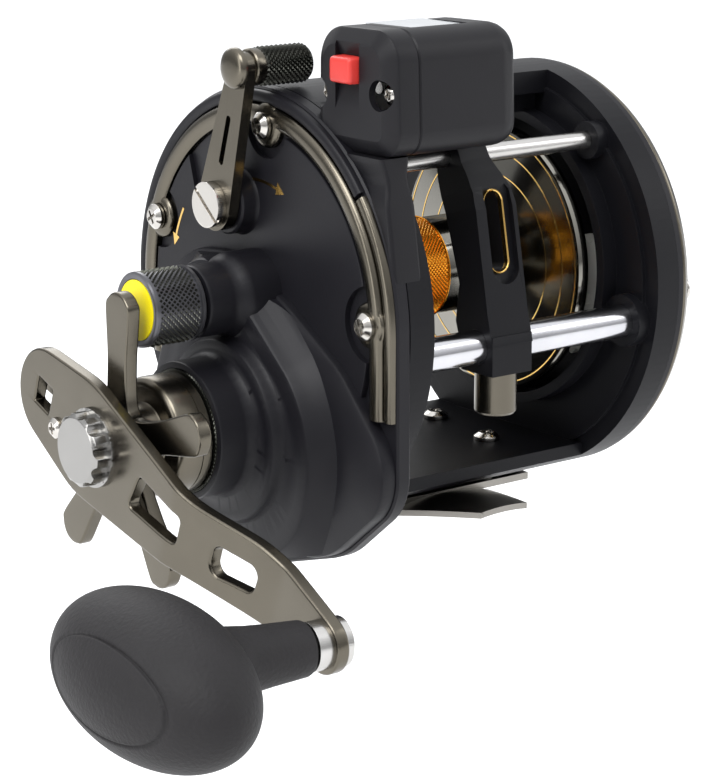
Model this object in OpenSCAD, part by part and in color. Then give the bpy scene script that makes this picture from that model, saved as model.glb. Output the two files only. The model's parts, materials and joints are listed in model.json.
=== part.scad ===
// Trolling reel with a level wind and a line counter.
// Millimetres. The spool turns about X, the handle is at -X, the line leaves
// towards -Y, +Z is up. Origin: middle of the reel foot's underside.

/* [Size] */
// Diameter over the frame's two side rings
ring_d = 88; // [80:1:100]
// Width over the two side rings, along the spool axis
frame_w = 70.6; // [64:0.2:80]
// Depth of each side ring along the spool axis
ring_depth = 5.9; // [4:0.1:8]
// Height of the ring axis over the underside of the foot
axis_h = 45; // [44.5:0.5:50]

/* [Spool and gears] */
// Height of the spool axis over the ring axis
spool_up = 2.7; // [0:0.1:4]
// Drop of the gear shaft below the ring axis
gear_down = 23.2; // [20:0.1:26]
// Radius of the spool flanges
flange_r = 28.7; // [24:0.1:29.5]
// Radius of the spool arbor
arbor_r = 10.3; // [8:0.1:14]
// Middle of the spool along X
spool_mid = -4; // [-6:0.5:0]
// Teeth of the main gear
main_teeth = 49; // [40:1:60]
// Teeth of the pinion
pinion_teeth = 10; // [9:1:14]

/* [Level wind] */
// Radius of the guard tube round the worm
tube_r = 3.45; // [3:0.05:4]
// Radius of the upper guide rod
rod_r = 1.9; // [1.5:0.1:2.5]
// Place of the line guide along X
guide_x = -7.5; // [-18:0.5:12]

/* [Handle] */
// Distance from the gear shaft to the grip's stud
crank_r = 69.35; // [60:0.05:80]
// Slope of the handle arm below the horizontal, degrees
crank_slope = 20; // [0:1:45]
// Radius of the star drag over its arms
star_r = 30.4; // [25:0.2:34]
// Half length of the grip, across its stud
grip_half_l = 27; // [20:0.5:30]
// Half thickness of the grip
grip_half_t = 14.4; // [12:0.2:22]

/* [Part] */
// Node to draw

/* [Hidden] */
$fn = 64;

R = ring_d / 2;
hw = frame_w / 2;
web_in = hw - ring_depth;
rim_in = R - 3.8;
open_r = 30.2;
gz = -gear_down;
sz = spool_up;
plate_back = -hw;
rim_front = -38.4;
face_x = -39.8;
trim_front = -40.5;
sleeve_r = 3.5;

// outer faces of the spool's flanges
spool_near = spool_mid - 28.5;
spool_far = spool_mid + 28.5;

// level wind axes in the ring's Y, Z
worm_y = -36.5;
worm_z = -5.8;
rod_y = -24.5;
rod_z = 30.2;
lean = atan2(rod_y - worm_y, rod_z - worm_z);
guide_l = norm([rod_y - worm_y, rod_z - worm_z]);

// lever, counter and click places in the ring's Y, Z
lever_y = 5.5;
lever_z = 20.5;
lever_tip_y = -3.4;
lever_tip_z = 48.5;
drum_y = -27.8;
drum_z = 46;
cap_x = -38;
seam_x = -31;
counter_end = -6.2;
click_y = -13;
click_z = -14;

// gear sizes
main_m = (sz - gz) * 2 / (main_teeth + pinion_teeth);
train_m = 1;
drive_teeth = 15;
idler_teeth = 26;
worm_teeth = 9;
span_sw = norm([worm_y, worm_z - sz]);
arm_si = (drive_teeth + idler_teeth) * train_m / 2;
arm_iw = (idler_teeth + worm_teeth) * train_m / 2;
turn_sw = atan2(worm_z - sz, worm_y);
swing = acos((span_sw * span_sw + arm_si * arm_si - arm_iw * arm_iw) / (2 * span_sw * arm_si));
idler_y = arm_si * cos(turn_sw + swing);
idler_z = sz + arm_si * sin(turn_sw + swing);
turn_iw = atan2(worm_z - idler_z, worm_y - idler_y);
// first tooth of each wheel in the train, so that they start in mesh
drive_first = turn_sw + swing;
idler_first = drive_first + 180 + 180 / idler_teeth;
idler_part = (turn_iw - idler_first) * idler_teeth / 360;
worm_first = turn_iw + 180 + (0.5 + idler_part - floor(idler_part)) * 360 / worm_teeth;

// foot: plate thickness, inner radius of its arched toes, their thickness and rise
foot_t = 1.5;
saddle_r = 48;
toe_t = 1.25;
toe_rise = 4.6;

// grip: the middle of the arm's eye along X, how far its stud leans towards the
// shaft, where its oval sits along X, how the oval is turned about the stud, and
// how far round its own long axis the oval pad faces
eye_x = -71.6;
stud_lean = 3.6;
grip_x = -107;
grip_turn = -17;
grip_pad = -84;

// screw circles
trim_screw_r = 37;
near_screw_a = [-5.8, -86.6, 69];
far_screw_a = [0, 90, 180, 270];
foot_holes = [[-15, -7.6], [15, -7.6], [-18, 13.4], [18, 13.4]];

// colours
c_black = [0.09, 0.09, 0.1];
c_char = [0.2, 0.2, 0.22];
c_gun = [0.42, 0.4, 0.35];
c_steel = [0.75, 0.75, 0.77];
c_chrome = [0.85, 0.85, 0.88];
c_brass = [0.78, 0.62, 0.3];
c_orange = [0.85, 0.5, 0.1];
c_red = [0.8, 0.2, 0.2];
c_yellow = [1, 0.86, 0];
c_foam = [0.13, 0.13, 0.14];
c_nylon = [0.9, 0.9, 0.86];

// ---- helpers -------------------------------------------------------------

// lifts the ring axis to its height over the foot
module lift() translate([0, 0, axis_h]) children();

// stands a Y, Z outline up and gives it depth from x0 to x1
module sx(x0, x1) translate([x0, 0, 0]) rotate([90, 0, 90]) linear_extrude(x1 - x0) children();

module disc(y, z, r) translate([y, z]) circle(r = r);

module rod_x(x0, x1, y, z, r) sx(x0, x1) disc(y, z, r);

module cone_x(x0, x1, y, z, r0, r1)
  translate([x0, y, z]) rotate([0, 90, 0]) cylinder(h = x1 - x0, r1 = r0, r2 = r1);

// outline round two circles and their tangents
module belt(p, rp, q, rq) {
  d = norm(q - p);
  t = atan2(q[1] - p[1], q[0] - p[0]);
  a = acos((rp - rq) / d);
  translate(p) circle(r = rp);
  translate(q) circle(r = rq);
  polygon([
    p + rp * [cos(t + a), sin(t + a)],
    p + rp * [cos(t - a), sin(t - a)],
    q + rq * [cos(t - a), sin(t - a)],
    q + rq * [cos(t + a), sin(t + a)]
  ]);
}

module ring2(r_out, r_in, y = 0, z = 0) difference() {
  disc(y, z, r_out);
  disc(y, z, r_in);
}

// place on a circle, the angle counted from the top towards +Y
function on_ring(r, a) = [r * sin(a), r * cos(a)];

// gear outline with straight-sided stub teeth and backlash
module gear2(teeth, m, first = 0) {
  rp = teeth * m / 2;
  ro = rp + 0.72 * m;
  ri = rp - 0.98 * m;
  wp = 0.43 * 180 / teeth;
  wo = 0.2 * 180 / teeth;
  wi = 0.66 * 180 / teeth;
  side = [[-1, ri, wi], [-1, rp, wp], [-1, ro, wo], [1, ro, wo], [1, rp, wp], [1, ri, wi]];
  polygon([for (i = [0 : teeth - 1]) for (s = side)
    let (a = first + i * 360 / teeth + s[0] * s[2]) s[1] * [cos(a), sin(a)]]);
}

// pan head screw along X, its head towards -X when dir is -1
module pan_screw(x, y, z, head_r, head_h, shank_r, shank_l, dir = -1)
  translate([x, y, z]) rotate([0, 90 * dir, 0]) difference() {
    union() {
      translate([0, 0, -shank_l]) cylinder(h = shank_l, r = shank_r);
      cylinder(h = head_h * 0.5, r = head_r);
      translate([0, 0, head_h * 0.5]) cylinder(h = head_h * 0.5, r1 = head_r, r2 = head_r * 0.62);
    }
    for (a = [0, 90]) rotate([0, 0, a + 30]) translate([-head_r * 0.55, -0.3, head_h - 0.9])
      cube([head_r * 1.1, 0.6, 2]);
  }

// ---- frame ---------------------------------------------------------------

module bottom_bar2() intersection() {
  disc(0, 0, R);
  translate([-22, foot_t - axis_h + 0.02]) square([48, axis_h - foot_t - 35.42]);
}

module top_bar2() intersection() {
  ring2(R, R - 4.6);
  translate([-9, 20]) square([25, 30]);
}

module ring_body(x0, x1, web0, web1) {
  sx(x0, x1) ring2(R, rim_in);
  sx(web0, web1) difference() {
    disc(0, 0, rim_in + 0.1);
    disc(0, sz, open_r);
  }
}

module frame() color(c_black) lift() difference() {
  union() {
    ring_body(-hw, -web_in, -33.2, -31.4);
    ring_body(web_in, hw, 28.6, 31);
    sx(25, 28.7) ring2(open_r + 2.2, open_r, 0, sz);
    sx(-33.2, 31) bottom_bar2();
    sx(-web_in - 1, web_in + 1) top_bar2();
    for (x = [[-33.2, -29.6], [26.4, 31]]) {
      rod_x(x[0], x[1], worm_y, worm_z, tube_r + 2);
      rod_x(x[0], x[1], rod_y, rod_z, rod_r + 2);
    }
    for (y = [-6, 9]) sx(20, 29) translate([y, rim_in - 6]) square([3, 6.5]);
  }
  rod_x(-33.3, 31.1, worm_y, worm_z, tube_r + 0.02);
  rod_x(-33.3, 31.1, rod_y, rod_z, rod_r + 0.02);
  rod_x(-29.5, 28.5, 0, sz, open_r);
  rod_x(31.2, 35.4, worm_y, worm_z, 5.6);
  for (y = [-25, 25]) rod_x(-34, -31, y, -19, 1.3);
  for (p = foot_holes) translate([p[0], p[1], -44]) cylinder(h = 10, r = 1.55);
}

// ---- handle side plate ---------------------------------------------------

module housing_low2() hull() {
  disc(10, -7.6, 17.6);
  disc(14, -8, 17.6);
  disc(-31.5, -27, 12);
  disc(-16, -26, 22.5);
  disc(0, gz, 28.3);
}

// outline of the cover's flange, which runs straight down in front of the ring
module flange2() hull() {
  disc(0, 0, R);
  disc(-31.7, -27, 12.4);
  disc(-16, -26, 23.1);
  disc(0, gz, 30.5);
}

module housing_mid2() hull() {
  disc(7, -3, 12);
  disc(-3.5, -27, 24);
  disc(1.5, -24.6, 25.4);
}

module side_plate() color(c_char) lift() difference() {
  union() {
    sx(rim_front, plate_back) flange2();
    rod_x(face_x, rim_front + 0.1, 0, 0, 36.4);
    sx(-41.5, rim_front + 0.1) housing_low2();
    intersection() {
      sx(-43.5, -41.4) housing_low2();
      cone_x(-43.5, -41.4, -4, -20, 40, 46);
    }
    sx(-47.5, -43.4) housing_mid2();
    rod_x(-50.4, -47.4, -1, -24.3, 18.8);
    rod_x(-58.6, -50.3, 0, gz, 14);
    rod_x(-56, -43.4, 0, sz, 9.2);
    rod_x(-62, -55.9, 0, sz, 5.4);
    rod_x(-43.6, -39.7, lever_y, lever_z, 6.4);
  }
  rod_x(-38.2, -35.2, 0, 0, 34);
  rod_x(-46.3, -35.2, 0, gz, 23.3);
  rod_x(-52.4, -35.2, 0, sz, 7.2);
  rod_x(-55.6, -52.3, 0, sz, 5.02);
  rod_x(-62.1, -55.5, 0, sz, 2.4);
  rod_x(-58.7, -46.2, 0, gz, sleeve_r + 0.06);
  rod_x(-44, -41.2, lever_y, lever_z, 3.05);
  rod_x(-41.3, -38.1, lever_y, lever_z, 4.7);
  for (a = near_screw_a) let (p = on_ring(trim_screw_r, a)) rod_x(-41, -35.2, p[0], p[1], 1.5);
}

module trim_outline2(r_in) {
  difference() {
    union() {
      ring2(43.4, r_in);
      for (a = near_screw_a) let (p = on_ring(trim_screw_r, a)) disc(p[0], p[1], 4.1);
    }
    translate([-50, -60]) square([100, 60 - 16]);
  }
}

module side_trim() color(c_gun) lift() difference() {
  union() {
    intersection() {
      sx(trim_front, rim_front - 0.02) trim_outline2(36.9);
      cone_x(trim_front - 0.1, rim_front + 0.1, 0, 0, 40.6, 44.4);
    }
    sx(trim_front + 0.5, rim_front - 0.02) translate([-43.3, -16]) square([6.3, 16.5]);
  }
  rod_x(-41, rim_front + 0.1, 0, 0, 36.45);
  for (a = near_screw_a) let (p = on_ring(trim_screw_r, a)) rod_x(-41, -38, p[0], p[1], 1.5);
  sx(-41, rim_front + 0.1) difference() {
    housing_low2();
    translate([-60, -10]) square([120, 60]);
  }
}

module side_plate_screws() color(c_steel) lift()
  for (a = near_screw_a) let (p = on_ring(trim_screw_r, a))
    pan_screw(trim_front - 0.02, p[0], p[1], 2.7, 1.7, 1.45, 5);

// ---- far side ------------------------------------------------------------

module far_plate() color(c_char) lift() difference() {
  union() {
    rod_x(hw, 36.6, 0, 0, R);
    rod_x(36.5, 39.4, 0, 0, 37.4);
    cone_x(39.3, 41.4, 0, 0, 34, 29);
    cone_x(41.3, 42.6, 0, sz, 16, 14);
    cone_x(42.5, 44.6, 0, sz, 9, 7.6);
  }
  difference() {
    rod_x(35.2, 39.2, 0, 0, 33.4);
    rod_x(35.6, 39.3, idler_y, idler_z, 3);
    rod_x(37.4, 39.3, 0, sz, 7.5);
  }
  rod_x(37.3, 42.8, 0, sz, 5.02);
  rod_x(35.5, 38, idler_y, idler_z, 1.26);
  for (a = far_screw_a) let (p = on_ring(trim_screw_r + 3, a)) rod_x(35, 41, p[0], p[1], 1.5);
  sx(39, 42) belt([click_y - 3, click_z], 1.65, [click_y + 3, click_z], 1.65);
}

module far_trim() color(c_gun) lift() difference() {
  intersection() {
    rod_x(36.62, 39.3, 0, 0, 43.8);
    cone_x(36.5, 39.4, 0, 0, 44.4, 42.6);
  }
  rod_x(36.5, 39.5, 0, 0, 37.45);
  for (a = far_screw_a) let (p = on_ring(trim_screw_r + 3, a)) rod_x(36, 40, p[0], p[1], 1.5);
}

module far_plate_screws() color(c_steel) lift()
  for (a = far_screw_a) let (p = on_ring(trim_screw_r + 3, a))
    pan_screw(39.32, p[0], p[1], 2.6, 1.6, 1.45, 4, 1);

// ---- foot ----------------------------------------------------------------

module foot2() {
  translate([-24, -11]) square([48, 28]);
}

module toe2(y0, y1, w0, w1) polygon([[-w0, y0], [w0, y0], [w1, y1], [-w1, y1]]);

// arched sheet the toes are cut from
module saddle() translate([0, 0, -saddle_r]) rotate([90, 0, 0]) difference() {
  cylinder(h = 60, r = saddle_r + toe_t, center = true);
  cylinder(h = 61, r = saddle_r, center = true);
}

module reel_foot() color(c_steel) difference() {
  union() {
    linear_extrude(foot_t) foot2();
    intersection() {
      translate([0, 0, -3]) linear_extrude(8) toe2(-9, -31, 13.4, 6.2);
      translate([0, -10.6, 0]) rotate([-toe_rise, 0, 0]) saddle();
    }
    intersection() {
      translate([0, 0, -3]) linear_extrude(8) toe2(15, 36, 13.4, 6.6);
      translate([0, 16.6, 0]) rotate([toe_rise, 0, 0]) saddle();
    }
  }
  translate([-24.1, -11, -4]) cube([48.2, 28, 4]);
  for (p = foot_holes) translate([p[0], p[1], -0.1]) cylinder(h = 3, r = 1.55);
}

module foot_screws() color(c_steel) lift() for (p = foot_holes) translate([p[0], p[1], -35.38]) {
  translate([0, 0, -8]) cylinder(h = 8, r = 1.5);
  difference() {
    union() {
      cylinder(h = 0.9, r = 2.8);
      translate([0, 0, 0.9]) cylinder(h = 0.8, r1 = 2.8, r2 = 1.7);
    }
    for (a = [20, 110]) rotate([0, 0, a]) translate([-1.5, -0.3, 0.9]) cube([3, 0.6, 2]);
  }
}

// ---- bridge and drive on the handle side ---------------------------------

module bridge_plate() color(c_steel) lift() difference() {
  union() {
    sx(-35.1, -33.4) belt([0, sz], 9, [0, gz], 12);
    rod_x(-45, -35, 0, gz, 2);
    rod_x(-37.4, -35, 11.6, gz + 6.5, 1.2);
    for (y = [-11, 11]) rod_x(-38.1, -35, y, sz + 5, 0.8);
    sx(-35.1, -33.4) belt([-11, sz + 5], 3, [11, sz + 5], 3);
    sx(-35.1, -33.4) belt([-25, -19], 4, [25, -19], 4);
  }
  rod_x(-36, -33, 0, sz, 6);
  for (y = [-25, 25]) rod_x(-36, -33, y, -19, 1.3);
}

module bridge_screws() color(c_steel) lift() for (y = [-25, 25])
  pan_screw(-35.12, y, -19, 2.2, 1.2, 1.25, 3.5);

module gear_sleeve() color(c_steel) lift() difference() {
  union() {
    rod_x(-80.8, -35.3, 0, gz, sleeve_r);
    rod_x(-38.4, -37.3, 0, gz, 9.5);
  }
  rod_x(-46, -35.2, 0, gz, 2.06);
  sx(-80.9, -75.9) difference() {
    disc(0, gz, 5);
    translate([-5, gz - 2.4]) square([10, 4.8]);
  }
}

module ratchet_wheel() color(c_steel) lift() sx(-37.2, -35.6) difference() {
  polygon([for (i = [0 : 11]) for (s = [[9, 0], [6.6, 2]])
    [s[0] * cos(30 * i + s[1]), gz + s[0] * sin(30 * i + s[1])]]);
  disc(0, gz, sleeve_r + 0.02);
}

module ratchet_dog() color(c_steel) lift() sx(-37.2, -35.6) difference() {
  belt([11.6, gz + 6.5], 2.4, [10.5, gz + 1.3], 0.8);
  disc(11.6, gz + 6.5, 1.26);
}

module main_gear() color(c_brass) lift() difference() {
  union() {
    sx(-45.8, -42.6) translate([0, gz]) gear2(main_teeth, main_m, 90);
    rod_x(-42.7, -38.5, 0, gz, 17.2);
  }
  rod_x(-46, -38, 0, gz, sleeve_r + 0.06);
  rod_x(-44.4, -38.4, 0, gz, 15.6);
}

module drag_washers() color(c_steel) lift() for (i = [0 : 4])
  sx(-44.3 + i * 1.12, -44.3 + i * 1.12 + 1.05) ring2(15.3, sleeve_r + 0.08, 0, gz);

module pinion_gear() color(c_brass) lift() difference() {
  union() {
    sx(-47, -41.4) translate([0, sz]) gear2(pinion_teeth, main_m, 90 + 180 / pinion_teeth);
    rod_x(-51, -34.3, 0, sz, 3.4);
    rod_x(-37.8, -36.5, 0, sz, 5.2);
    rod_x(-35.2, -34.2, 0, sz, 5.2);
  }
  rod_x(-52, -40, 0, sz, 1.8);
  rod_x(-40.1, -34, 0, sz, 2.56);
}

module clutch_yoke() color(c_nylon) lift() difference() {
  sx(-36.3, -35.4) union() {
    belt([-11, sz + 5], 3.4, [11, sz + 5], 3.4);
    belt([-6, sz + 2], 5, [6, sz + 2], 5);
    belt([0, sz + 7], 4, [lever_y - 1, lever_z - 3], 3.5);
  }
  sx(-38, -35) union() {
    disc(0, sz, 3.6);
    translate([-3.6, sz - 12]) square([7.2, 12]);
  }
  for (y = [-11, 11]) rod_x(-38.2, -35, y, sz + 5, 0.86);
}

module yoke_springs() color(c_steel) lift() for (y = [-11, 11])
  for (i = [0 : 1]) translate([-37.9 + i * 0.45, y, sz + 5]) rotate([0, 90, 0])
    rotate_extrude() translate([1.5, 0]) circle(r = 0.2, $fn = 16);

module drag_collar() color(c_gun) lift() difference() {
  union() {
    rod_x(-66, -59, 0, gz, 12.05);
    cone_x(-67, -65.9, 0, gz, 11.1, 12.05);
    rod_x(-70.9, -66.9, 0, gz, 7);
  }
  rod_x(-71, -58, 0, gz, sleeve_r + 0.04);
  rod_x(-60.6, -58.9, 0, gz, 9);
  sx(-62.6, -62.3) ring2(12.2, 11.6, 0, gz);
}

module star2() {
  disc(0, gz, 8.6);
  for (i = [0 : 4]) let (a = 90 + 3 + 72 * i, q = [cos(a), sin(a)])
    hull() {
      disc(0, gz, 4.6);
      disc((star_r - 4.3) * q[0], gz + (star_r - 4.3) * q[1], 4.3);
    }
}

module star_drag() color(c_gun) lift() difference() {
  union() {
    sx(-74, -71.1) star2();
    rod_x(-75.6, -73.9, 0, gz, 6.4);
  }
  rod_x(-76, -71, 0, gz, sleeve_r + 0.06);
}

// ---- handle --------------------------------------------------------------

// the arm's own frame: Y runs along the arm to the stud, Z points below it
module arm_frame() translate([0, 0, gz]) rotate([180 + crank_slope, 0, 0]) children();

module arm_flat2() hull() {
  disc(-19.4, 0, 9.7);
  disc(-4, 0.5, 12.6);
  disc(32, 0.7, 7.8);
}

module arm_low2() hull() {
  disc(30, 0.7, 7.8);
  disc(48.5, -0.9, 7.5);
  disc(58, -0.8, 6.4);
  disc(crank_r, 0, 5.6);
}

module arm_slots2() {
  hull() {
    disc(15.6, 3.2, 1.3);
    disc(28.7, 2, 1.3);
    disc(16.8, -2, 1.2);
    disc(28.8, -1.5, 1.2);
  }
  hull() {
    disc(41, 1.5, 2.1);
    disc(41.1, -0.5, 2.2);
    disc(47.6, 0.4, 2.1);
    disc(47.7, -1.2, 2.1);
  }
}

// the stud's frame: as the arm's, leaning towards the shaft about the arm's eye
module stud_frame() arm_frame() translate([eye_x, crank_r, 0]) rotate([0, 0, stud_lean])
  translate([-eye_x, -crank_r, 0]) children();

module handle_arm() color(c_gun) lift() difference() {
  arm_frame() difference() {
    union() {
      intersection() {
        sx(-79, -76.2) arm_flat2();
        translate([-90, -40, -20]) cube([20, 67.6, 40]);
      }
      intersection() {
        sx(-80, -66) union() {
          arm_flat2();
          arm_low2();
        }
        translate([-79, 27.4, -20]) rotate([0, 0, -11.9]) cube([2.8, 29, 40]);
      }
      intersection() {
        sx(-73, -70.2) arm_low2();
        translate([-90, 55.4, -20]) cube([30, 40, 40]);
      }
    }
    sx(-90, -60) union() {
      disc(0, 0, 3.6);
      arm_slots2();
      translate([-19.8, 0]) square([5.6, 5.6], center = true);
      disc(-13.2, 3.7, 1.3);
    }
  }
  stud_frame() {
    rod_x(-80, -60, crank_r, 0, 2.34);
    rod_x(-78, -72.6, crank_r, 0, 5.2);
    rod_x(-70.6, -66, crank_r, 0, 5.2);
  }
}

module handle_nut() color(c_chrome) lift() translate([0, 0, gz]) difference() {
  union() {
    rod_x(-82.7, -79.02, 0, 0, 7.3);
    cone_x(-83.3, -82.6, 0, 0, 6.4, 7.3);
    sx(-79.9, -79.02) circle(r = 7.9);
  }
  for (i = [0 : 9]) rotate([36 * i + 10, 0, 0]) rod_x(-84, -79.9, 0, 8.5, 2);
  rod_x(-80.9, -78, 0, 0, 3.6);
}

module nut_lock_screw() color(c_chrome) lift() arm_frame()
  pan_screw(-79.02, -13.2, 3.7, 2.1, 1.2, 1.25, 2.6);

module grip_stud() color(c_steel) lift() stud_frame() difference() {
  union() {
    rod_x(-100, -68.4, crank_r, 0, 2.3);
    rod_x(-70.58, -68.4, crank_r, 0, 4.7);
    cone_x(-68.5, -67.7, crank_r, 0, 4.7, 3.7);
    rod_x(-75.6, -72.62, crank_r, 0, 4.6);
    rod_x(-101.4, -99.9, crank_r, 0, 3.6);
  }
  sx(-68.6, -67) translate([crank_r - 2.2, -0.5]) square([4.4, 1]);
}

// the grip's oval, turned about its long axis and drawn in by g
module grip_body(g = 0) rotate_extrude($fn = 96) intersection() {
  polygon([for (i = [0 : 24]) let (a = -90 + i * 7.5)
    [(grip_half_t - g) * pow(cos(a), 0.94), (grip_half_l - g) * sin(a)]]);
  translate([0, -50]) square([50, 100]);
}

module pad2(g = 0) polygon([for (i = [0 : 47]) [(8.6 - g) * cos(7.5 * i), (17.5 - g) * sin(7.5 * i)]]);

module grip() color(c_foam) lift() stud_frame() difference() {
  union() {
    translate([grip_x, crank_r, 0]) rotate([90 + grip_turn, 0, 0]) grip_body();
    cone_x(-98, -76.2, crank_r, 0, 6.5, 5.2);
  }
  rod_x(-99.8, -76, crank_r, 0, 2.38);
  rod_x(-101.6, -99.7, crank_r, 0, 3.7);
  translate([grip_x, crank_r, 0]) rotate([90 + grip_turn, 0, 0]) difference() {
    rotate([0, 0, grip_pad]) translate([0, -8, -3]) rotate([90, 0, 0]) linear_extrude(12)
      difference() {
        pad2();
        pad2(0.8);
      }
    grip_body(0.45);
  }
}

// ---- spool ---------------------------------------------------------------

module flange(x0, x1, face) difference() {
  rod_x(x0, x1, 0, sz, flange_r);
  for (r = [18.4, 23.4, 27.6]) sx(face - 0.25, face + 0.25) ring2(r + 0.18, r - 0.18, 0, sz);
}

module spool() color(c_gun) lift() difference() {
  union() {
    flange(spool_near, spool_near + 3, spool_near + 3);
    flange(spool_far - 3, spool_far, spool_far - 3);
    rod_x(spool_near, spool_far, 0, sz, arbor_r - 0.6);
    rod_x(spool_near, spool_mid - 6.02, 0, sz, arbor_r);
    rod_x(spool_mid + 6.02, spool_far, 0, sz, arbor_r);
    rod_x(spool_far - 0.1, 32.9, 0, sz, 5.6);
    rod_x(spool_near - 1.2, spool_near + 1, 0, sz, 5);
  }
  rod_x(spool_near + 4, spool_far - 4, 0, sz, arbor_r - 2.2);
  rod_x(-40, 40, 0, sz, 2.52);
}

module braid_band() color(c_orange) lift()
  sx(spool_mid - 6, spool_mid + 6) ring2(arbor_r + 0.6, arbor_r - 0.58, 0, sz);

module spool_shaft() color(c_steel) lift() {
  rod_x(-55.5, 42.7, 0, sz, 1.75);
  rod_x(-34.9, 38.4, 0, sz, 2.5);
  cone_x(-57.4, -55.4, 0, sz, 0.8, 1.75);
}

module bearing(x0, x1, r_in) {
  sx(x0, x1) ring2(5, 4, 0, sz);
  sx(x0, x1) ring2(3, r_in, 0, sz);
  sx(x0 + 0.4, x1 - 0.4) ring2(4, 3, 0, sz);
}

module near_bearing() color(c_chrome) lift() bearing(-55.5, -52.6, 1.81);

module far_bearing() color(c_chrome) lift() bearing(39.2, 42.2, 1.81);

module tension_knob() color(c_black) lift() difference() {
  union() {
    cone_x(-68.6, -67.9, 0, sz, 7.1, 7.65);
    rod_x(-68, -56.9, 0, sz, 7.65);
  }
  rod_x(-64, -56.8, 0, sz, 5.5);
  rod_x(-68.7, -68.1, 0, sz, 6.1);
}

module tension_disc() color(c_yellow) lift() rod_x(-68.55, -68.12, 0, sz, 6);

module tension_shim() color(c_nylon) lift() rod_x(-63.9, -62.5, 0, sz, 5.3);

// ---- level wind ----------------------------------------------------------

module drive_gear() color(c_nylon) lift() difference() {
  sx(33, 35) translate([0, sz]) gear2(drive_teeth, train_m, drive_first);
  rod_x(32, 36, 0, sz, 2.52);
}

module idler_gear() color(c_nylon) lift() difference() {
  union() {
    sx(33, 35) translate([idler_y, idler_z]) gear2(idler_teeth, train_m, idler_first);
    rod_x(31.6, 37.8, idler_y, idler_z, 1.2);
  }
}

module worm_gear() color(c_nylon) lift() difference() {
  sx(33, 35) translate([worm_y, worm_z]) gear2(worm_teeth, train_m, worm_first);
  rod_x(32, 36, worm_y, worm_z, 1.52);
}
module worm_shaft() color(c_steel) lift() difference() {
  union() {
    rod_x(-27, 27, worm_y, worm_z, 2.35);
    rod_x(-33, 35.1, worm_y, worm_z, 1.5);
  }
  for (i = [-6 : 6]) translate([4 * i, worm_y, worm_z]) rotate([0, 90 + 18 * (i % 2 == 0 ? 1 : -1), 0])
    rotate_extrude() translate([1.85, -0.6]) square([2, 1.2]);
}

module worm_bushings() color(c_nylon) lift() {
  sx(-33.1, -28) ring2(2.58, 1.56, worm_y, worm_z);
  sx(28, 31) ring2(2.58, 1.56, worm_y, worm_z);
}

module worm_tube() color(c_chrome) lift() difference() {
  sx(-33.1, 31) ring2(tube_r, 2.6, worm_y, worm_z);
  translate([guide_x - 17, worm_y - 1.3, worm_z - 5]) cube([46, 2.6, 5]);
}

module guide_rod() color(c_steel) lift() rod_x(-33.1, 31, rod_y, rod_z, rod_r);

// the line guide's own frame: +Z from the tube to the rod, -Y to the front
module guide_frame() translate([guide_x, worm_y, worm_z]) rotate([-lean, 0, 0]) children();

// frame of the line slot: its front face leans less than the guide's own line
module slot_frame() guide_frame() translate([0, -7.5, 21.4]) rotate([7.6, 0, 0]) children();

// frame of the pawl under the tube
module pawl_frame() translate([guide_x, worm_y, worm_z]) children();

module guide_side2() polygon([[-5, -1], [-5.3, 5], [-8.1, 26], [-7.9, 29.5], [-6.4, 33],
  [-4.8, 36], [-4.2, 39], [-2.8, 40.6], [2, 40.6], [3, 39.8], [3, 34], [1.3, 27], [1.3, 13],
  [4.7, 6], [4.7, -1]]);

module guide_front2() polygon([[-5.2, -8], [5.2, -8], [5.2, 27], [4.8, 30.5], [4.1, 34],
  [3.7, 37], [3.6, 42], [-3.6, 42], [-3.7, 37], [-4.1, 34], [-4.8, 30.5], [-5.2, 27]]);

module slot2(r) hull() {
  disc(0, -5.85, r);
  disc(0, 5.85, r);
}

module line_guide() color(c_black) lift() difference() {
  union() {
    guide_frame() intersection() {
      sx(-5.2, 5.2) guide_side2();
      rotate([90, 0, 0]) linear_extrude(30, center = true) guide_front2();
    }
    pawl_frame() translate([-5.1, -4.9, -5.4]) cube([10.2, 9.5, 8]);
  }
  rod_x(-20, 10, worm_y, worm_z, tube_r + 0.05);
  rod_x(-20, 10, rod_y, rod_z, rod_r + 0.05);
  slot_frame() translate([0, 1.3, 0]) rotate([90, 0, 0]) linear_extrude(6) hull() {
    disc(0.8, -7.2, 3.4);
    disc(0.8, 7.2, 3.4);
  }
  slot_frame() translate([0, 14, 0]) rotate([90, 0, 0]) linear_extrude(16) slot2(2.48);
  pawl_frame() translate([0, 0, -6]) cylinder(h = 4, r = 2.45);
}

module guide_insert() color(c_brass) lift() slot_frame() rotate([90, 0, 0]) difference() {
  union() {
    translate([0, 0, -8.4]) linear_extrude(7.5) slot2(2.45);
    translate([0, 0, -1.28]) linear_extrude(0.6) slot2(2.56);
  }
  translate([0, 0, -10]) linear_extrude(12) slot2(2.1);
}

module guide_pawl() color(c_brass) lift() pawl_frame() {
  translate([0, 0, -8]) cylinder(h = 4.4, r = 2.35);
  translate([0, 0, -3.7]) cylinder(h = 1.2, r1 = 1.1, r2 = 0.7);
}

module pawl_cap() color(c_gun) lift() pawl_frame() difference() {
  union() {
    translate([0, 0, -13.5]) cylinder(h = 8.06, r = 4.25);
    translate([0, 0, -14]) cylinder(h = 0.6, r1 = 3.8, r2 = 4.25);
  }
  translate([0, 0, -8.1]) cylinder(h = 3, r = 2.45);
}

// ---- line counter --------------------------------------------------------

module counter2(g = 0) {
  hull() {
    disc(-21.5, 38.8, 4.8 - g);
    disc(-36.6, 39, 4.9 - g);
    disc(-34.6, 51.6, 6.4 - g);
    disc(-24, 50.6, 7.2 - g);
  }
}

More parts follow.
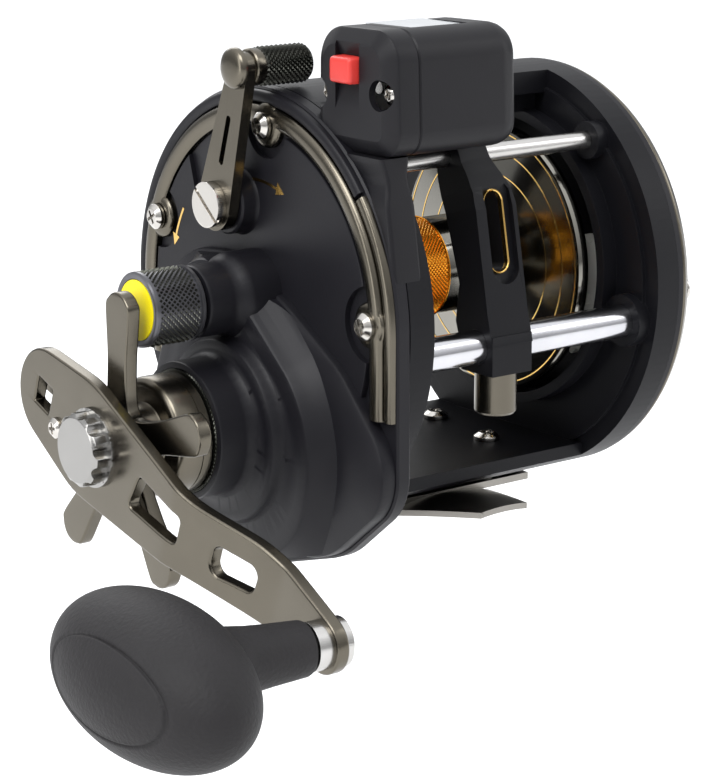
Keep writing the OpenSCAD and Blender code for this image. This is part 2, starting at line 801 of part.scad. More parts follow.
module counter_bracket() color(c_char) lift() difference() {
  sx(-38.3, -31.3) polygon([[-24, 33.94], [-38.4, 34.05], [-39.6, 31], [-40.8, 24], [-42.3, 14],
    [-41, 12], [-20, 34]]);
  rod_x(-39, -30, 0, 0, R + 0.03);
  rod_x(-39, -30, rod_y, rod_z, 3.6);
}

// screws that join the cap to the housing
counter_holes = [[-37.4, 46], [-18.5, 44.8]];

module counter_cap() color(c_char) lift() difference() {
  union() {
    difference() {
      union() {
        sx(-36.6, seam_x) counter2();
        intersection() {
          sx(cap_x, -36.5) counter2();
          cone_x(cap_x, -36.5, -29, 45.5, 12.4, 16.5);
        }
      }
      sx(-36.4, seam_x + 0.1) counter2(1.7);
    }
    intersection() {
      sx(-36.5, seam_x) counter2(0.5);
      union() {
        rod_x(-36.5, seam_x, 0, 0, R + 1.7);
        for (p = counter_holes) rod_x(-36.5, seam_x, p[0], p[1], 3.2);
      }
    }
  }
  rod_x(-39, -30, 0, 0, R + 0.03);
  sx(-39, -36) translate([-31.1, 47.3]) square([6.9, 5.4]);
  for (p = counter_holes) {
    rod_x(-39, -34.6, p[0], p[1], 2.3);
    rod_x(-35, -30, p[0], p[1], 1.15);
  }
}

module counter_housing() color(c_char) lift() difference() {
  union() {
    difference() {
      union() {
        sx(seam_x + 0.02, -9.2) counter2();
        intersection() {
          sx(-9.3, counter_end) counter2();
          cone_x(-9.3, counter_end, -29, 45.5, 17.5, 13);
        }
      }
      sx(seam_x, -9.6) counter2(1.7);
    }
    intersection() {
      sx(seam_x + 0.02, -24) counter2(0.5);
      for (p = counter_holes) rod_x(seam_x + 0.02, -24, p[0], p[1], 2.7);
    }
    intersection() {
      sx(seam_x + 0.02, -27.7) counter2(0.5);
      rod_x(seam_x + 0.02, -27.7, 0, 0, R + 1.7);
    }
    sx(-13.2, -12) counter2(1);
  }
  rod_x(-32, -29.37, 0, 0, R + 0.03);
  for (p = counter_holes) rod_x(-32, -25, p[0], p[1], 1.15);
  rod_x(-13.5, -11, drum_y, drum_z, 1.26);
  translate([-28.6, -35.1, 52]) cube([14, 14, 10]);
}

module counter_window() color(c_chrome) lift() translate([-28.5, -35, 56.2]) cube([13.8, 13.8, 1.5]);

module counter_screws() color(c_steel) lift() for (p = counter_holes)
  pan_screw(-34.62, p[0], p[1], 1.9, 1.2, 1.1, 7);

module counter_drums() color(c_nylon) lift() for (i = [0 : 2])
  sx(-28 + i * 4.4, -23.9 + i * 4.4) ring2(6.3, 1.26, drum_y, drum_z);

module drum_axle() color(c_steel) lift() {
  rod_x(-30.5, -10.6, drum_y, drum_z, 1.2);
  rod_x(-14.8, -14, drum_y, drum_z, 5.6);
}

module reset_button() color(c_red) lift() {
  sx(-40, -36.3) translate([-31, 47.4]) square([6.7, 5.2]);
  sx(-36.3, -35.4) translate([-32.2, 46.6]) square([9.1, 6.8]);
}

module reset_spring() color(c_steel) lift() for (i = [0 : 2])
  translate([-33.9 + i * 0.9, -27.6, 50]) rotate([0, 90, 0]) rotate_extrude()
    translate([1.8, 0]) circle(r = 0.25, $fn = 16);

// ---- free-spool lever and clicker ----------------------------------------

module lever2() difference() {
  hull() {
    disc(lever_y, lever_z, 5.4);
    disc(lever_tip_y, lever_tip_z, 3.1);
  }
  hull() {
    disc(lever_y - 2.9, lever_z + 9, 0.75);
    disc(lever_y - 5.6, lever_z + 17.6, 0.75);
  }
  disc(lever_tip_y, lever_tip_z, 1.62);
}

module free_spool_lever() color(c_gun) lift() {
  sx(-46.3, -43.9) lever2();
  rod_x(-44, -41, lever_y, lever_z, 3);
  rod_x(-41.1, -38.9, lever_y, lever_z, 4.6);
  cone_x(-39, -38, lever_y, lever_z, 4.6, 2);
}

module lever_knob() color(c_gun) lift() {
  rod_x(-47.2, -41.6, lever_tip_y, lever_tip_z, 1.6);
  rod_x(-43.88, -41.6, lever_tip_y, lever_tip_z, 3.7);
  rod_x(-41.7, -30.2, lever_tip_y, lever_tip_z, 4);
  rod_x(-47.3, -46.32, lever_tip_y, lever_tip_z, 4.1);
  cone_x(-48.4, -47.2, lever_tip_y, lever_tip_z, 2.6, 4.1);
}

module lever_screw() color(c_steel) lift() difference() {
  rod_x(-48.3, -46.34, lever_y, lever_z, 4.6);
  sx(-48.4, -47.5) translate([lever_y, lever_z]) rotate(40) square([12, 0.8], center = true);
}

module click_gear() color(c_brass) lift() difference() {
  sx(35.6, 37) translate([0, sz]) gear2(20, 0.62, 0);
  rod_x(35, 38, 0, sz, 2.52);
}

module click_pawl() color(c_steel) lift() {
  rod_x(35.7, 37, click_y, click_z, 2.4);
  sx(35.7, 37) polygon([[click_y + 1.6, click_z + 1], [click_y + 5.2, click_z + 5.6],
    [click_y + 4.8, click_z + 6.2], [click_y, click_z + 2]]);
}

module click_button() color(c_black) lift() {
  rod_x(37.02, 41.7, click_y, click_z, 1.6);
  cone_x(41.65, 44, click_y, click_z, 4.2, 3.4);
}

// ---- drawing -------------------------------------------------------------

frame();
side_plate();
side_trim();
side_plate_screws();
far_plate();
far_trim();
far_plate_screws();
reel_foot();
foot_screws();
bridge_plate();
bridge_screws();
spool();
braid_band();
spool_shaft();
near_bearing();
far_bearing();
tension_knob();
tension_disc();
tension_shim();
drive_gear();
idler_gear();
worm_gear();
worm_shaft();
worm_bushings();
worm_tube();
guide_rod();
line_guide();
guide_insert();
guide_pawl();
pawl_cap();
counter_bracket();
counter_cap();
counter_housing();
counter_window();
counter_screws();
counter_drums();
drum_axle();
reset_button();
reset_spring();
free_spool_lever();
lever_knob();
lever_screw();
clutch_yoke();
yoke_springs();
pinion_gear();
main_gear();
drag_washers();
gear_sleeve();
ratchet_wheel();
ratchet_dog();
drag_collar();
star_drag();
handle_arm();
handle_nut();
nut_lock_screw();
grip_stud();
grip();
click_gear();
click_button();
click_pawl();
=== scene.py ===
"""Looks for a trolling reel: rounded metal, moulded pieces, knurls and a foam grip on the CAD frame."""
import json
import math

import bmesh
import bpy
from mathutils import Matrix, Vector


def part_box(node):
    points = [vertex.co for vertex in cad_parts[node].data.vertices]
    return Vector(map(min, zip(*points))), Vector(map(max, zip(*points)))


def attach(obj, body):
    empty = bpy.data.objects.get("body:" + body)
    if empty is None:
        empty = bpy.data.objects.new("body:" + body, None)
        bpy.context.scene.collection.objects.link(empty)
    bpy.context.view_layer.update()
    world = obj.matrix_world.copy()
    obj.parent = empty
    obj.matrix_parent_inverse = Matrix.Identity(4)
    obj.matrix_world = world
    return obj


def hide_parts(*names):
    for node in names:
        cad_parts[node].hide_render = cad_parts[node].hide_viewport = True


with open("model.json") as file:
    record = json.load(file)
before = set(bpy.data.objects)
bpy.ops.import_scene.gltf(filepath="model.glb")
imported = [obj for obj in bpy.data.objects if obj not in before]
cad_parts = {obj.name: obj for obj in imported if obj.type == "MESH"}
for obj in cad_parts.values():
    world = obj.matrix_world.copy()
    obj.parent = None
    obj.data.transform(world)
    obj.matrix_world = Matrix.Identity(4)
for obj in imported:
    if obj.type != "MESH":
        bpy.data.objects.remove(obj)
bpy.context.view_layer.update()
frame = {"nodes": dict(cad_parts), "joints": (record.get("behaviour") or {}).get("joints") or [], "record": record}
NODES = frame["nodes"]
JOINTS = {row["name"]: row for row in frame["joints"]}

MM = 0.001
SLOTS = {row["node"]: row["material_slot"] for row in frame["record"]["subparts"]}
BODY = {n: body for body, names in frame["record"]["behaviour"]["bodies"].items() for n in names}


# ---- camera, light and floor -------------------------------------------------

CAMERA_PLACE = (-0.340552, -0.423645, 0.157024)
CAMERA_AZIMUTH = -37.535
CAMERA_ELEVATION = 14.017
CAMERA_LENS = 121.78
CAMERA_SENSOR = 36
FLOOR_Z = -0.088
FLOOR_HALF = 3.0
LIT_POINT = (-0.02, -0.02, 0.04)
# name, place, size, power, height; all turned to LIT_POINT
LIGHTS = [
    ("key", (-0.55, -0.25, 0.75), 0.45, 5.0, 0.45),
    ("right_strip", (0.75, -0.55, 0.35), 0.2, 2.2, 0.9),
    ("left_strip", (-0.95, 0.05, 0.3), 0.25, 2.6, 0.9),
    ("back_rim", (0.25, 0.85, 0.6), 0.6, 3.0, 0.6),
]
SKY_COLOUR = (0.97, 0.98, 1.0, 1)
SKY_AT_HORIZON = 0.35
SKY_OVERHEAD = 1.75
FLOOR_COLOUR = (0.93, 0.93, 0.93, 1)


def make_camera():
    data = bpy.data.cameras.new("camera")
    data.lens = CAMERA_LENS
    data.sensor_width = CAMERA_SENSOR
    data.clip_start = 0.05
    data.clip_end = 10
    camera = bpy.data.objects.new("camera", data)
    camera.location = CAMERA_PLACE
    camera.rotation_euler = (math.radians(90 - CAMERA_ELEVATION), 0, math.radians(CAMERA_AZIMUTH))
    bpy.context.scene.collection.objects.link(camera)
    bpy.context.scene.camera = camera


def area_light(name, place, size, power, height):
    data = bpy.data.lights.new(name, "AREA")
    data.shape = "RECTANGLE"
    data.size = size
    data.size_y = height
    data.energy = power
    light = bpy.data.objects.new(name, data)
    light.location = place
    light.rotation_euler = (Vector(LIT_POINT) - Vector(place)).to_track_quat("-Z", "Y").to_euler()
    bpy.context.scene.collection.objects.link(light)


def make_sky():
    """A sky that is bright overhead and dim at the horizon."""
    world = bpy.data.worlds.new("world")
    world.use_nodes = True
    nodes, links = world.node_tree.nodes, world.node_tree.links
    place = nodes.new("ShaderNodeTexCoord")
    split = nodes.new("ShaderNodeSeparateXYZ")
    links.new(place.outputs["Generated"], split.inputs["Vector"])
    height = nodes.new("ShaderNodeMapRange")
    height.inputs["From Min"].default_value = 0.0
    height.inputs["From Max"].default_value = 1.0
    height.inputs["To Min"].default_value = SKY_AT_HORIZON
    height.inputs["To Max"].default_value = SKY_OVERHEAD
    links.new(split.outputs["Z"], height.inputs["Value"])
    links.new(height.outputs["Result"], nodes["Background"].inputs["Strength"])
    nodes["Background"].inputs["Color"].default_value = SKY_COLOUR
    bpy.context.scene.world = world


def make_floor():
    half = FLOOR_HALF
    corners = [(-half, -half, FLOOR_Z), (half, -half, FLOOR_Z), (half, half, FLOOR_Z), (-half, half, FLOOR_Z)]
    mesh = bpy.data.meshes.new("floor")
    mesh.from_pydata(corners, [], [(0, 1, 2, 3)])
    floor = bpy.data.objects.new("floor", mesh)
    bpy.context.scene.collection.objects.link(floor)
    material = bpy.data.materials.new("floor")
    material.use_nodes = True
    shader = material.node_tree.nodes["Principled BSDF"]
    shader.inputs["Base Color"].default_value = FLOOR_COLOUR
    shader.inputs["Roughness"].default_value = 0.9
    shader.inputs["Specular IOR Level"].default_value = 0.0
    floor.data.materials.append(material)


make_camera()
for light in LIGHTS:
    area_light(*light)
make_sky()
make_floor()
bpy.context.scene.view_settings.view_transform = "Standard"

# ---- materials -----------------------------------------------------------------


DRIFT_SCALE = 110
DRIFT_DETAIL = 5
GRAIN_DETAIL = 4


def surface(name, colour, rough, grain, bump, metal=0.0, spread=0.06, tint=0.12, gloss=0.5):
    """A material whose colour and roughness drift over millimetres, with a grain over tenths.
    grain is the size of the bump and bump its height, in mm; spread and tint are the changes in
    roughness and in colour."""
    material = bpy.data.materials.new(name)
    material.use_nodes = True
    nodes, links = material.node_tree.nodes, material.node_tree.links
    shader = nodes["Principled BSDF"]
    shader.inputs["Metallic"].default_value = metal
    shader.inputs["Specular IOR Level"].default_value = gloss
    place = nodes.new("ShaderNodeTexCoord")
    drift = nodes.new("ShaderNodeTexNoise")
    drift.inputs["Scale"].default_value = DRIFT_SCALE
    drift.inputs["Detail"].default_value = DRIFT_DETAIL
    links.new(place.outputs["Object"], drift.inputs["Vector"])
    fine = nodes.new("ShaderNodeTexNoise")
    fine.inputs["Scale"].default_value = 1 / (grain * MM)
    fine.inputs["Detail"].default_value = GRAIN_DETAIL
    links.new(place.outputs["Object"], fine.inputs["Vector"])
    ramp = nodes.new("ShaderNodeMix")
    ramp.data_type = "RGBA"
    ramp.inputs["A"].default_value = (*[c * (1 - tint) for c in colour], 1)
    ramp.inputs["B"].default_value = (*[min(1, c * (1 + tint)) for c in colour], 1)
    links.new(drift.outputs["Fac"], ramp.inputs["Factor"])
    links.new(ramp.outputs["Result"], shader.inputs["Base Color"])
    roughness = nodes.new("ShaderNodeMapRange")
    roughness.inputs["To Min"].default_value = max(0.02, rough - spread)
    roughness.inputs["To Max"].default_value = rough + spread
    blend = nodes.new("ShaderNodeMath")
    blend.operation = "ADD"
    links.new(drift.outputs["Fac"], blend.inputs[0])
    links.new(fine.outputs["Fac"], blend.inputs[1])
    roughness.inputs["From Max"].default_value = 2
    links.new(blend.outputs["Value"], roughness.inputs["Value"])
    links.new(roughness.outputs["Result"], shader.inputs["Roughness"])
    height = nodes.new("ShaderNodeBump")
    height.inputs["Strength"].default_value = 1
    height.inputs["Distance"].default_value = bump * MM
    links.new(fine.outputs["Fac"], height.inputs["Height"])
    links.new(height.outputs["Normal"], shader.inputs["Normal"])
    return material


MATERIALS = {
    "graphite": surface("graphite", (0.005, 0.005, 0.0065), 0.42, grain=0.5, bump=0.012, gloss=0.14),
    "side_cover": surface("side_cover", (0.0075, 0.0072, 0.0095), 0.42, grain=0.45, bump=0.016, gloss=0.2),
    "trim": surface("trim", (0.122, 0.110, 0.088), 0.25, metal=1.0, grain=0.25, bump=0.002, spread=0.05),
    "screws": surface("screws", (0.52, 0.50, 0.47), 0.16, metal=1.0, grain=0.3, bump=0.001),
    "foot": surface("foot", (0.24, 0.228, 0.208), 0.30, metal=1.0, grain=0.3, bump=0.002),
    "steel": surface("steel", (0.50, 0.49, 0.475), 0.25, metal=1.0, grain=0.3, bump=0.001),
    "spool": surface("spool", (0.23, 0.222, 0.197), 0.13, metal=1.0, grain=0.3, bump=0.0006),
    "band": surface("band", (0.80, 0.33, 0.03), 0.26, metal=1.0, grain=0.3, bump=0.001),
    "knob_black": surface("knob_black", (0.040, 0.041, 0.035), 0.22, metal=0.9, grain=0.3, bump=0.002),
    "knob_face": surface("knob_face", (0.10, 0.10, 0.11), 0.30, metal=0.8, grain=0.3, bump=0.002),
    "disc": surface("disc", (0.95, 0.76, 0.0), 0.35, grain=0.5, bump=0.002, gloss=0.3),
    "nylon": surface("nylon", (0.70, 0.69, 0.64), 0.45, grain=0.5, bump=0.004),
    "chrome": surface("chrome", (0.55, 0.55, 0.575), 0.17, metal=1.0, grain=0.3, bump=0.001),
    "nut": surface("nut", (0.30, 0.295, 0.285), 0.22, metal=1.0, grain=0.3, bump=0.001),
    "insert": surface("insert", (0.74, 0.48, 0.15), 0.18, metal=1.0, grain=0.3, bump=0.001),
    "brass": surface("brass", (0.70, 0.52, 0.24), 0.25, metal=1.0, grain=0.3, bump=0.001),
    "counter": surface("counter", (0.0075, 0.0072, 0.009), 0.42, grain=0.4, bump=0.014, gloss=0.2),
    "lens": surface("lens", (0.66, 0.68, 0.70), 0.08, grain=1.0, bump=0.0005),
    "digits": surface("digits", (0.7, 0.7, 0.68), 0.4, grain=0.5, bump=0.002),
    "button": surface("button", (0.55, 0.035, 0.028), 0.36, grain=0.5, bump=0.004, gloss=0.4),
    "grip": surface("grip", (0.0135, 0.0125, 0.0135), 0.62, grain=0.8, bump=0.16, gloss=0.26, tint=0.3),
}

# ---- places taken from the frame ---------------------------------------------------
# Sizes are in mm. Heights are from the ring axis, which lies at AXIS_H over the foot.

RING_LOW, RING_HIGH = [corner[2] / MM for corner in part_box("frame")]
AXIS_H = round((RING_LOW + RING_HIGH) / 2, 1)
RING_R = round((RING_HIGH - RING_LOW) / 2, 1)


def reach(node, axis):
    """Lowest and highest of a CAD node along an axis."""
    low, high = [corner[axis] / MM - (AXIS_H if axis == 2 else 0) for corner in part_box(node)]
    return round(low, 2), round(high, 2)


def middle_of(node):
    return tuple(round(sum(reach(node, axis)) / 2, 1) for axis in range(3))


def joint_place(name):
    x, y, z = [v / MM for v in JOINTS[name]["pos_m"]]
    return round(x, 3), round(y, 3), round(z - AXIS_H, 3)


GEAR_Z = joint_place("crank_turn")[2]
SPOOL_Z = joint_place("spool_turn")[2]
LEVER = joint_place("lever_turn")[1:]
LEVER_KNOB = middle_of("lever_knob")[1:]
CLICK_AT = middle_of("click_button")[1:]
WORM_Y, WORM_Z = joint_place("worm_turn")[1:]
GUIDE_X = middle_of("line_guide")[0]
# the grip's stud, and the arm from the gear axis to it
STUD_X, STUD_Y, STUD_Z = joint_place("grip_spin")
CRANK_R = round(math.hypot(STUD_Y, STUD_Z - GEAR_Z), 2)
ARM_ANGLE = round(math.degrees(math.atan2(STUD_Z - GEAR_Z, STUD_Y)) % 360, 1)
STUD_LEAN = round(math.degrees(math.acos(JOINTS["grip_spin"]["axis"][0])), 1)

# ---- building blocks -------------------------------------------------------------
# Outlines are lists of (y, z). A drum is x, x, y, z, radius and, if not 96, its number of sides.
# A knurl is x, x, y, z, radius, peaks round it, rows along it and the height of a peak.

ROUNDED_ANGLE = 32
KNURL_ANGLE = 5
# CAD nodes that a piece already stands for
DONE = set()


def lift(x, y, z):
    """A point of the row frame, in metres, from one beside the ring axis."""
    return Vector((x * MM, y * MM, (z + AXIS_H) * MM))


def polar(r, degrees):
    a = math.radians(degrees)
    return r * math.cos(a), r * math.sin(a)


def rotated(u, v, degrees):
    a = math.radians(degrees)
    return u * math.cos(a) - v * math.sin(a), u * math.sin(a) + v * math.cos(a)


def arm_to_row(x, u, v):
    """From the arm's frame, u along it to the stud and v below it, to the row frame."""
    y, z = rotated(u, v, ARM_ANGLE)
    return lift(x, y, z + GEAR_Z)


def settle(mesh, angle):
    """Turns the faces outwards, shades smooth and keeps edges over the angle sharp."""
    work = bmesh.new()
    work.from_mesh(mesh)
    bmesh.ops.remove_doubles(work, verts=work.verts, dist=1e-7)
    bmesh.ops.recalc_face_normals(work, faces=work.faces)
    work.to_mesh(mesh)
    work.free()
    mesh.shade_smooth()
    mesh.set_sharp_from_angle(angle=math.radians(angle))
    return mesh


def mesh_from(name, points, faces, angle=40):
    mesh = bpy.data.meshes.new(name)
    mesh.from_pydata([tuple(p) for p in points], [], faces)
    return settle(mesh, angle)


def bands(count, pairs):
    """Quads between rings of count points, for pairs of ring numbers."""
    faces = []
    for k, m in pairs:
        for i in range(count):
            j = (i + 1) % count
            faces.append((k * count + i, k * count + j, m * count + j, m * count + i))
    return faces


def loft(name, rings, angle=40):
    """Joins rings of equal length with quads and closes both ends."""
    count, last = len(rings[0]), len(rings) - 1
    faces = bands(count, [(k, k + 1) for k in range(last)])
    faces.append(tuple(range(count)))
    faces.append(tuple(range(last * count, (last + 1) * count)))
    return mesh_from(name, [p for ring in rings for p in ring], faces, angle)


def hoop(name, rings, angle):
    """Joins rings of equal length with quads, and the last one with the first."""
    faces = bands(len(rings[0]), [(k, (k + 1) % len(rings)) for k in range(len(rings))])
    return mesh_from(name, [p for ring in rings for p in ring], faces, angle)


def circle(y, z, r, count):
    turns = [math.tau * i / count for i in range(count)]
    return [(y + r * math.cos(a), z + r * math.sin(a)) for a in turns]


def around(circles, inset=0.0, count=160):
    """Outline round a set of circles (y, z, r), drawn in by inset."""
    points = []
    for i in range(count):
        a = math.tau * i / count
        n = (math.cos(a), math.sin(a))
        c = max(circles, key=lambda c: c[0] * n[0] + c[1] * n[1] + c[2])
        points.append((c[0] + (c[2] - inset) * n[0], c[1] + (c[2] - inset) * n[1]))
    return points


def soft_box(u0, u1, v0, v1, r):
    """Outline of a rectangle whose corners are rounded by r."""
    corners = [(u1 - r, v1 - r, 0), (u0 + r, v1 - r, 90), (u0 + r, v0 + r, 180), (u1 - r, v0 + r, 270)]
    points = []
    for u, v, start in corners:
        for step in (0, 22.5, 45, 67.5, 90):
            du, dv = polar(r, start + step)
            points.append((u + du, v + dv))
    return points


def block(x0, x1, y0, y1, z0, z1):
    points = [lift(x, y, z) for x in (x0, x1) for y in (y0, y1) for z in (z0, z1)]
    faces = [(0, 1, 3, 2), (4, 5, 7, 6), (0, 1, 5, 4), (2, 3, 7, 6), (0, 2, 6, 4), (1, 3, 7, 5)]
    return mesh_from("block", points, faces)


def mound(name, circles, profile, angle=40, count=160):
    """A raised shape along X: profile is a list of (x, inset)."""
    return loft(name, [[lift(x, y, z) for y, z in around(circles, g, count)] for x, g in profile], angle)


def turned(name, profile, y, z, count=128, angle=35):
    """A turned shape about X: profile is a list of (x, radius), closed on itself."""
    return hoop(name, [[lift(x, *p) for p in circle(y, z, r, count)] for x, r in profile], angle)


def drum(x0, x1, y, z, r, count=96):
    """A solid cylinder along X."""
    return loft("drum", [[lift(x, *p) for p in circle(y, z, r, count)] for x in (x0, x1)])


def merge(name, meshes):
    """One mesh from several."""
    work = bmesh.new()
    for mesh in meshes:
        work.from_mesh(mesh)
    out = bpy.data.meshes.new(name)
    work.to_mesh(out)
    work.free()
    return out


def carve(name, base, add=(), cut=(), angle=30, keep=()):
    """base joined with the meshes in add, cut by those in cut and kept only inside those in keep."""
    scene = bpy.context.scene.collection
    main = bpy.data.objects.new("carve", base)
    scene.objects.link(main)
    tools = []
    for operation, meshes in (("UNION", add), ("DIFFERENCE", cut), ("INTERSECT", keep)):
        for mesh in meshes:
            tool = bpy.data.objects.new("tool", mesh)
            scene.objects.link(tool)
            tools.append(tool)
            step = main.modifiers.new("step", "BOOLEAN")
            step.operation = operation
            step.solver = "EXACT"
            step.object = tool
    result = bpy.data.meshes.new_from_object(main.evaluated_get(bpy.context.evaluated_depsgraph_get()))
    result.name = name
    for item in tools + [main]:
        bpy.data.objects.remove(item)
    return settle(result, angle)


def plate(outlines, w0, w1, edge, to_row, cuts=(), bend=None):
    """A flat plate with rounded edges from an outline and holes in (u, v), between w0 and w1.
    cuts are places along u where it gets extra edges, bend moves a point's w by its u."""
    curve = bpy.data.curves.new("plate", "CURVE")
    curve.dimensions = "2D"
    curve.fill_mode = "BOTH"
    curve.extrude = (w1 - w0) / 2 - edge
    curve.bevel_depth = edge
    curve.bevel_resolution = 2
    curve.offset = -edge
    for outline in outlines:
        spline = curve.splines.new("POLY")
        spline.points.add(len(outline) - 1)
        for point, (u, v) in zip(spline.points, outline):
            point.co = (u, v, 0, 1)
        spline.use_cyclic_u = True
    holder = bpy.data.objects.new("plate", curve)
    bpy.context.scene.collection.objects.link(holder)
    mesh = bpy.data.meshes.new_from_object(holder.evaluated_get(bpy.context.evaluated_depsgraph_get()))
    bpy.data.objects.remove(holder)
    work = bmesh.new()
    work.from_mesh(mesh)
    bmesh.ops.remove_doubles(work, verts=work.verts, dist=1e-4)
    for u in cuts:
        everything = work.verts[:] + work.edges[:] + work.faces[:]
        bmesh.ops.bisect_plane(work, geom=everything, plane_co=(u, 0, 0), plane_no=(1, 0, 0))
    middle = (w0 + w1) / 2
    for vert in work.verts:
        u, v, w = vert.co
        vert.co = to_row(w + middle + (bend(u) if bend else 0), u, v)
    work.to_mesh(mesh)
    work.free()
    return settle(mesh, 40)


def knurl(name, x0, x1, y, z, r, peaks, rows, height):
    """A solid cylinder whose skin is a diamond knurl of small pyramids."""
    columns = 2 * peaks
    points, faces = [], []
    for j in range(rows + 1):
        for i in range(columns):
            a = math.tau * i / columns
            high = r if (i + j) % 2 == 0 and 0 < j < rows else r - height
            points.append(lift(x0 + (x1 - x0) * j / rows, y + high * math.cos(a), z + high * math.sin(a)))
    for j in range(rows):
        for i in range(columns):
            k = (i + 1) % columns
            a, b, c, d = j * columns + i, j * columns + k, (j + 1) * columns + k, (j + 1) * columns + i
            faces += [(a, b, d), (b, c, d)] if (i + j) % 2 == 0 else [(a, b, c), (a, c, d)]
    faces.append(tuple(range(columns)))
    faces.append(tuple(range(rows * columns, (rows + 1) * columns)))
    return mesh_from(name, points, faces, KNURL_ANGLE)


def smooth_through(points, steps=4):
    """A closed Catmull-Rom curve through points."""
    out = []
    for i in range(len(points)):
        p0, p1, p2, p3 = [points[(i + k) % len(points)] for k in (-1, 0, 1, 2)]
        for s in range(steps):
            t = s / steps
            spot = []
            for a, b, c, d in zip(p0, p1, p2, p3):
                low = 2 * b + (c - a) * t + (2 * a - 5 * b + 4 * c - d) * t * t
                spot.append(0.5 * (low + (3 * b - a - 3 * c + d) * t ** 3))
            out.append(tuple(spot))
    return out


def show(name, mesh, body, material, stands_for=(), weigh=False):
    """Puts a finished mesh in the scene as a piece."""
    piece = bpy.data.objects.new(name, mesh)
    bpy.context.scene.collection.objects.link(piece)
    mesh.materials.clear()
    mesh.materials.append(MATERIALS[material])
    if weigh:
        piece.modifiers.new("split", "TRIANGULATE")
        piece.modifiers.new("normals", "WEIGHTED_NORMAL").keep_sharp = True
    for node in stands_for:
        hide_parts(node)
        DONE.add(node)
    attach(piece, body)
    return piece


def rounded(node, width, material):
    """A CAD node's own shape with its sharp edges rounded by a bevel of width mm."""
    work = bmesh.new()
    work.from_mesh(NODES[node].data)
    bmesh.ops.remove_doubles(work, verts=work.verts, dist=1e-6)
    mesh = bpy.data.meshes.new(node + "_looks")
    work.to_mesh(mesh)
    work.free()
    mesh.shade_smooth()
    mesh.set_sharp_from_angle(angle=math.radians(ROUNDED_ANGLE))
    piece = bpy.data.objects.new(node + "_looks", mesh)
    bpy.context.scene.collection.objects.link(piece)
    mesh.materials.clear()
    mesh.materials.append(MATERIALS[material])
    bevel = piece.modifiers.new("bevel", "BEVEL")
    bevel.width = width * MM
    bevel.segments = 2
    bevel.limit_method = "ANGLE"
    bevel.angle_limit = math.radians(ROUNDED_ANGLE)
    bevel.use_clamp_overlap = True
    piece.modifiers.new("normals", "WEIGHTED_NORMAL").keep_sharp = True
    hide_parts(node)
    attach(piece, BODY[node])
    DONE.add(node)


# ---- handle side plate -------------------------------------------------------------
# Profiles are lists of (x, inset) or, for turned shapes, of (x, radius).

# outlines, as circles (y, z, r)
FLANGE = [(0, 0, RING_R), (-31.7, -27, 12.4), (-16, -26, 23.1), (0, GEAR_Z, 30.5)]
FACE = [(0, 0, 36.4)]
LOW = [(10, -7.6, 17.6), (14, -8, 17.6), (-31.5, -27, 12), (-16, -26, 22.5), (0, GEAR_Z, 28.3)]
MIDDLE = [(7, -3, 12), (-3.5, -27, 24), (1.5, -24.6, 25.4)]
STEP = [(-1, -24.3, 18.8)]
BOSS = [(0, GEAR_Z, 14)]
KNOB_BOSS = [(0, SPOOL_Z, 7.3)]
LEVER_SEAT = [(*LEVER, 6.4)]
# their edges
FLANGE_EDGE = [(-35.3, 0.25), (-35.6, 0), (-38.0, 0), (-38.4, 0.4)]
FACE_EDGE = [(-38.0, 0), (-39.4, 0), (-39.7, 0.12), (-39.8, 0.4)]
LOW_EDGE = [(-38.2, 0.05), (-39.6, 0.05), (-40.9, 0.12), (-41.3, 0.3), (-41.55, 0.8), (-42.1, 3.0),
            (-42.5, 5.5), (-42.65, 8.0)]
MIDDLE_EDGE = [(-39.9, -6.6), (-41.0, -4.6), (-42.6, -3.1), (-44.2, -1.75), (-45.8, -0.75),
               (-46.9, -0.2), (-47.3, 0.1), (-47.55, 0.7), (-47.7, 3.0)]
# the middle one flares outwards, but not past the low one's crest
LIMIT_EDGE = [(-39.0, 0.7), (-52.0, 0.7)]
STEP_EDGE = [(-47.2, -1.4), (-47.75, -0.6), (-48.5, -0.1), (-49.4, 0.05), (-50.0, 0.4), (-50.3, 1.0),
             (-50.4, 1.9)]
BOSS_EDGE = [(-49.9, -1.6), (-50.5, -0.8), (-51.4, -0.2), (-52.6, 0), (-58.0, 0), (-58.45, 0.15),
             (-58.6, 0.55)]
KNOB_BOSS_EDGE = [(-39.0, -1.6), (-46.0, -1.6), (-47.4, -1.2), (-48.2, -0.6), (-49.2, -0.15),
                  (-50.2, 0), (-55.2, 0), (-55.8, 0.25), (-56.0, 0.8)]
LEVER_SEAT_EDGE = [(-39.4, -0.9), (-39.9, -0.4), (-40.6, 0), (-43.2, 0), (-43.6, 0.4)]
KNOB_THREAD = (-60.5, -55.8, 0, SPOOL_Z, 5.4)
BORES = [
    (-38.2, -35.0, 0, 0, 34), (-46.3, -35.1, 0, GEAR_Z, 23.3), (-52.4, -34.9, 0, SPOOL_Z, 7.2),
    (-63, -46, 0, GEAR_Z, 3.58), (-55.6, -34.8, 0, SPOOL_Z, 5.02), (-64, -50, 0, SPOOL_Z, 2.4),
    (-44.5, -41.1, *LEVER, 3.05), (-41.3, -38.0, *LEVER, 4.7), (-60, -57.9, 0, GEAR_Z, 12.75),
]
# bottom of the hollow that lets the face fall away behind
HOLLOW = [(-38.75, 24.3, 29.9), (-38.75, 21.4, 20.2), (-39.95, 8, 20), (-39.95, 8, 35)]
HOLLOW_TOP = -42
TRIM_SCREW_R = 37
TRIM_SCREWS = [polar(TRIM_SCREW_R, 90 - a) for a in (-5.8, -86.6, 69)]
SCREW_HOLLOWS = (6.7, 7.6, 6.7)
SCREW_HOLE_R = 1.55
RING_KNURL = (-58.9, -57.95, 0, GEAR_Z, 12.7, 90, 4, 0.25)
RING_BORE = (-60, -57, 0, GEAR_Z, 9.6)


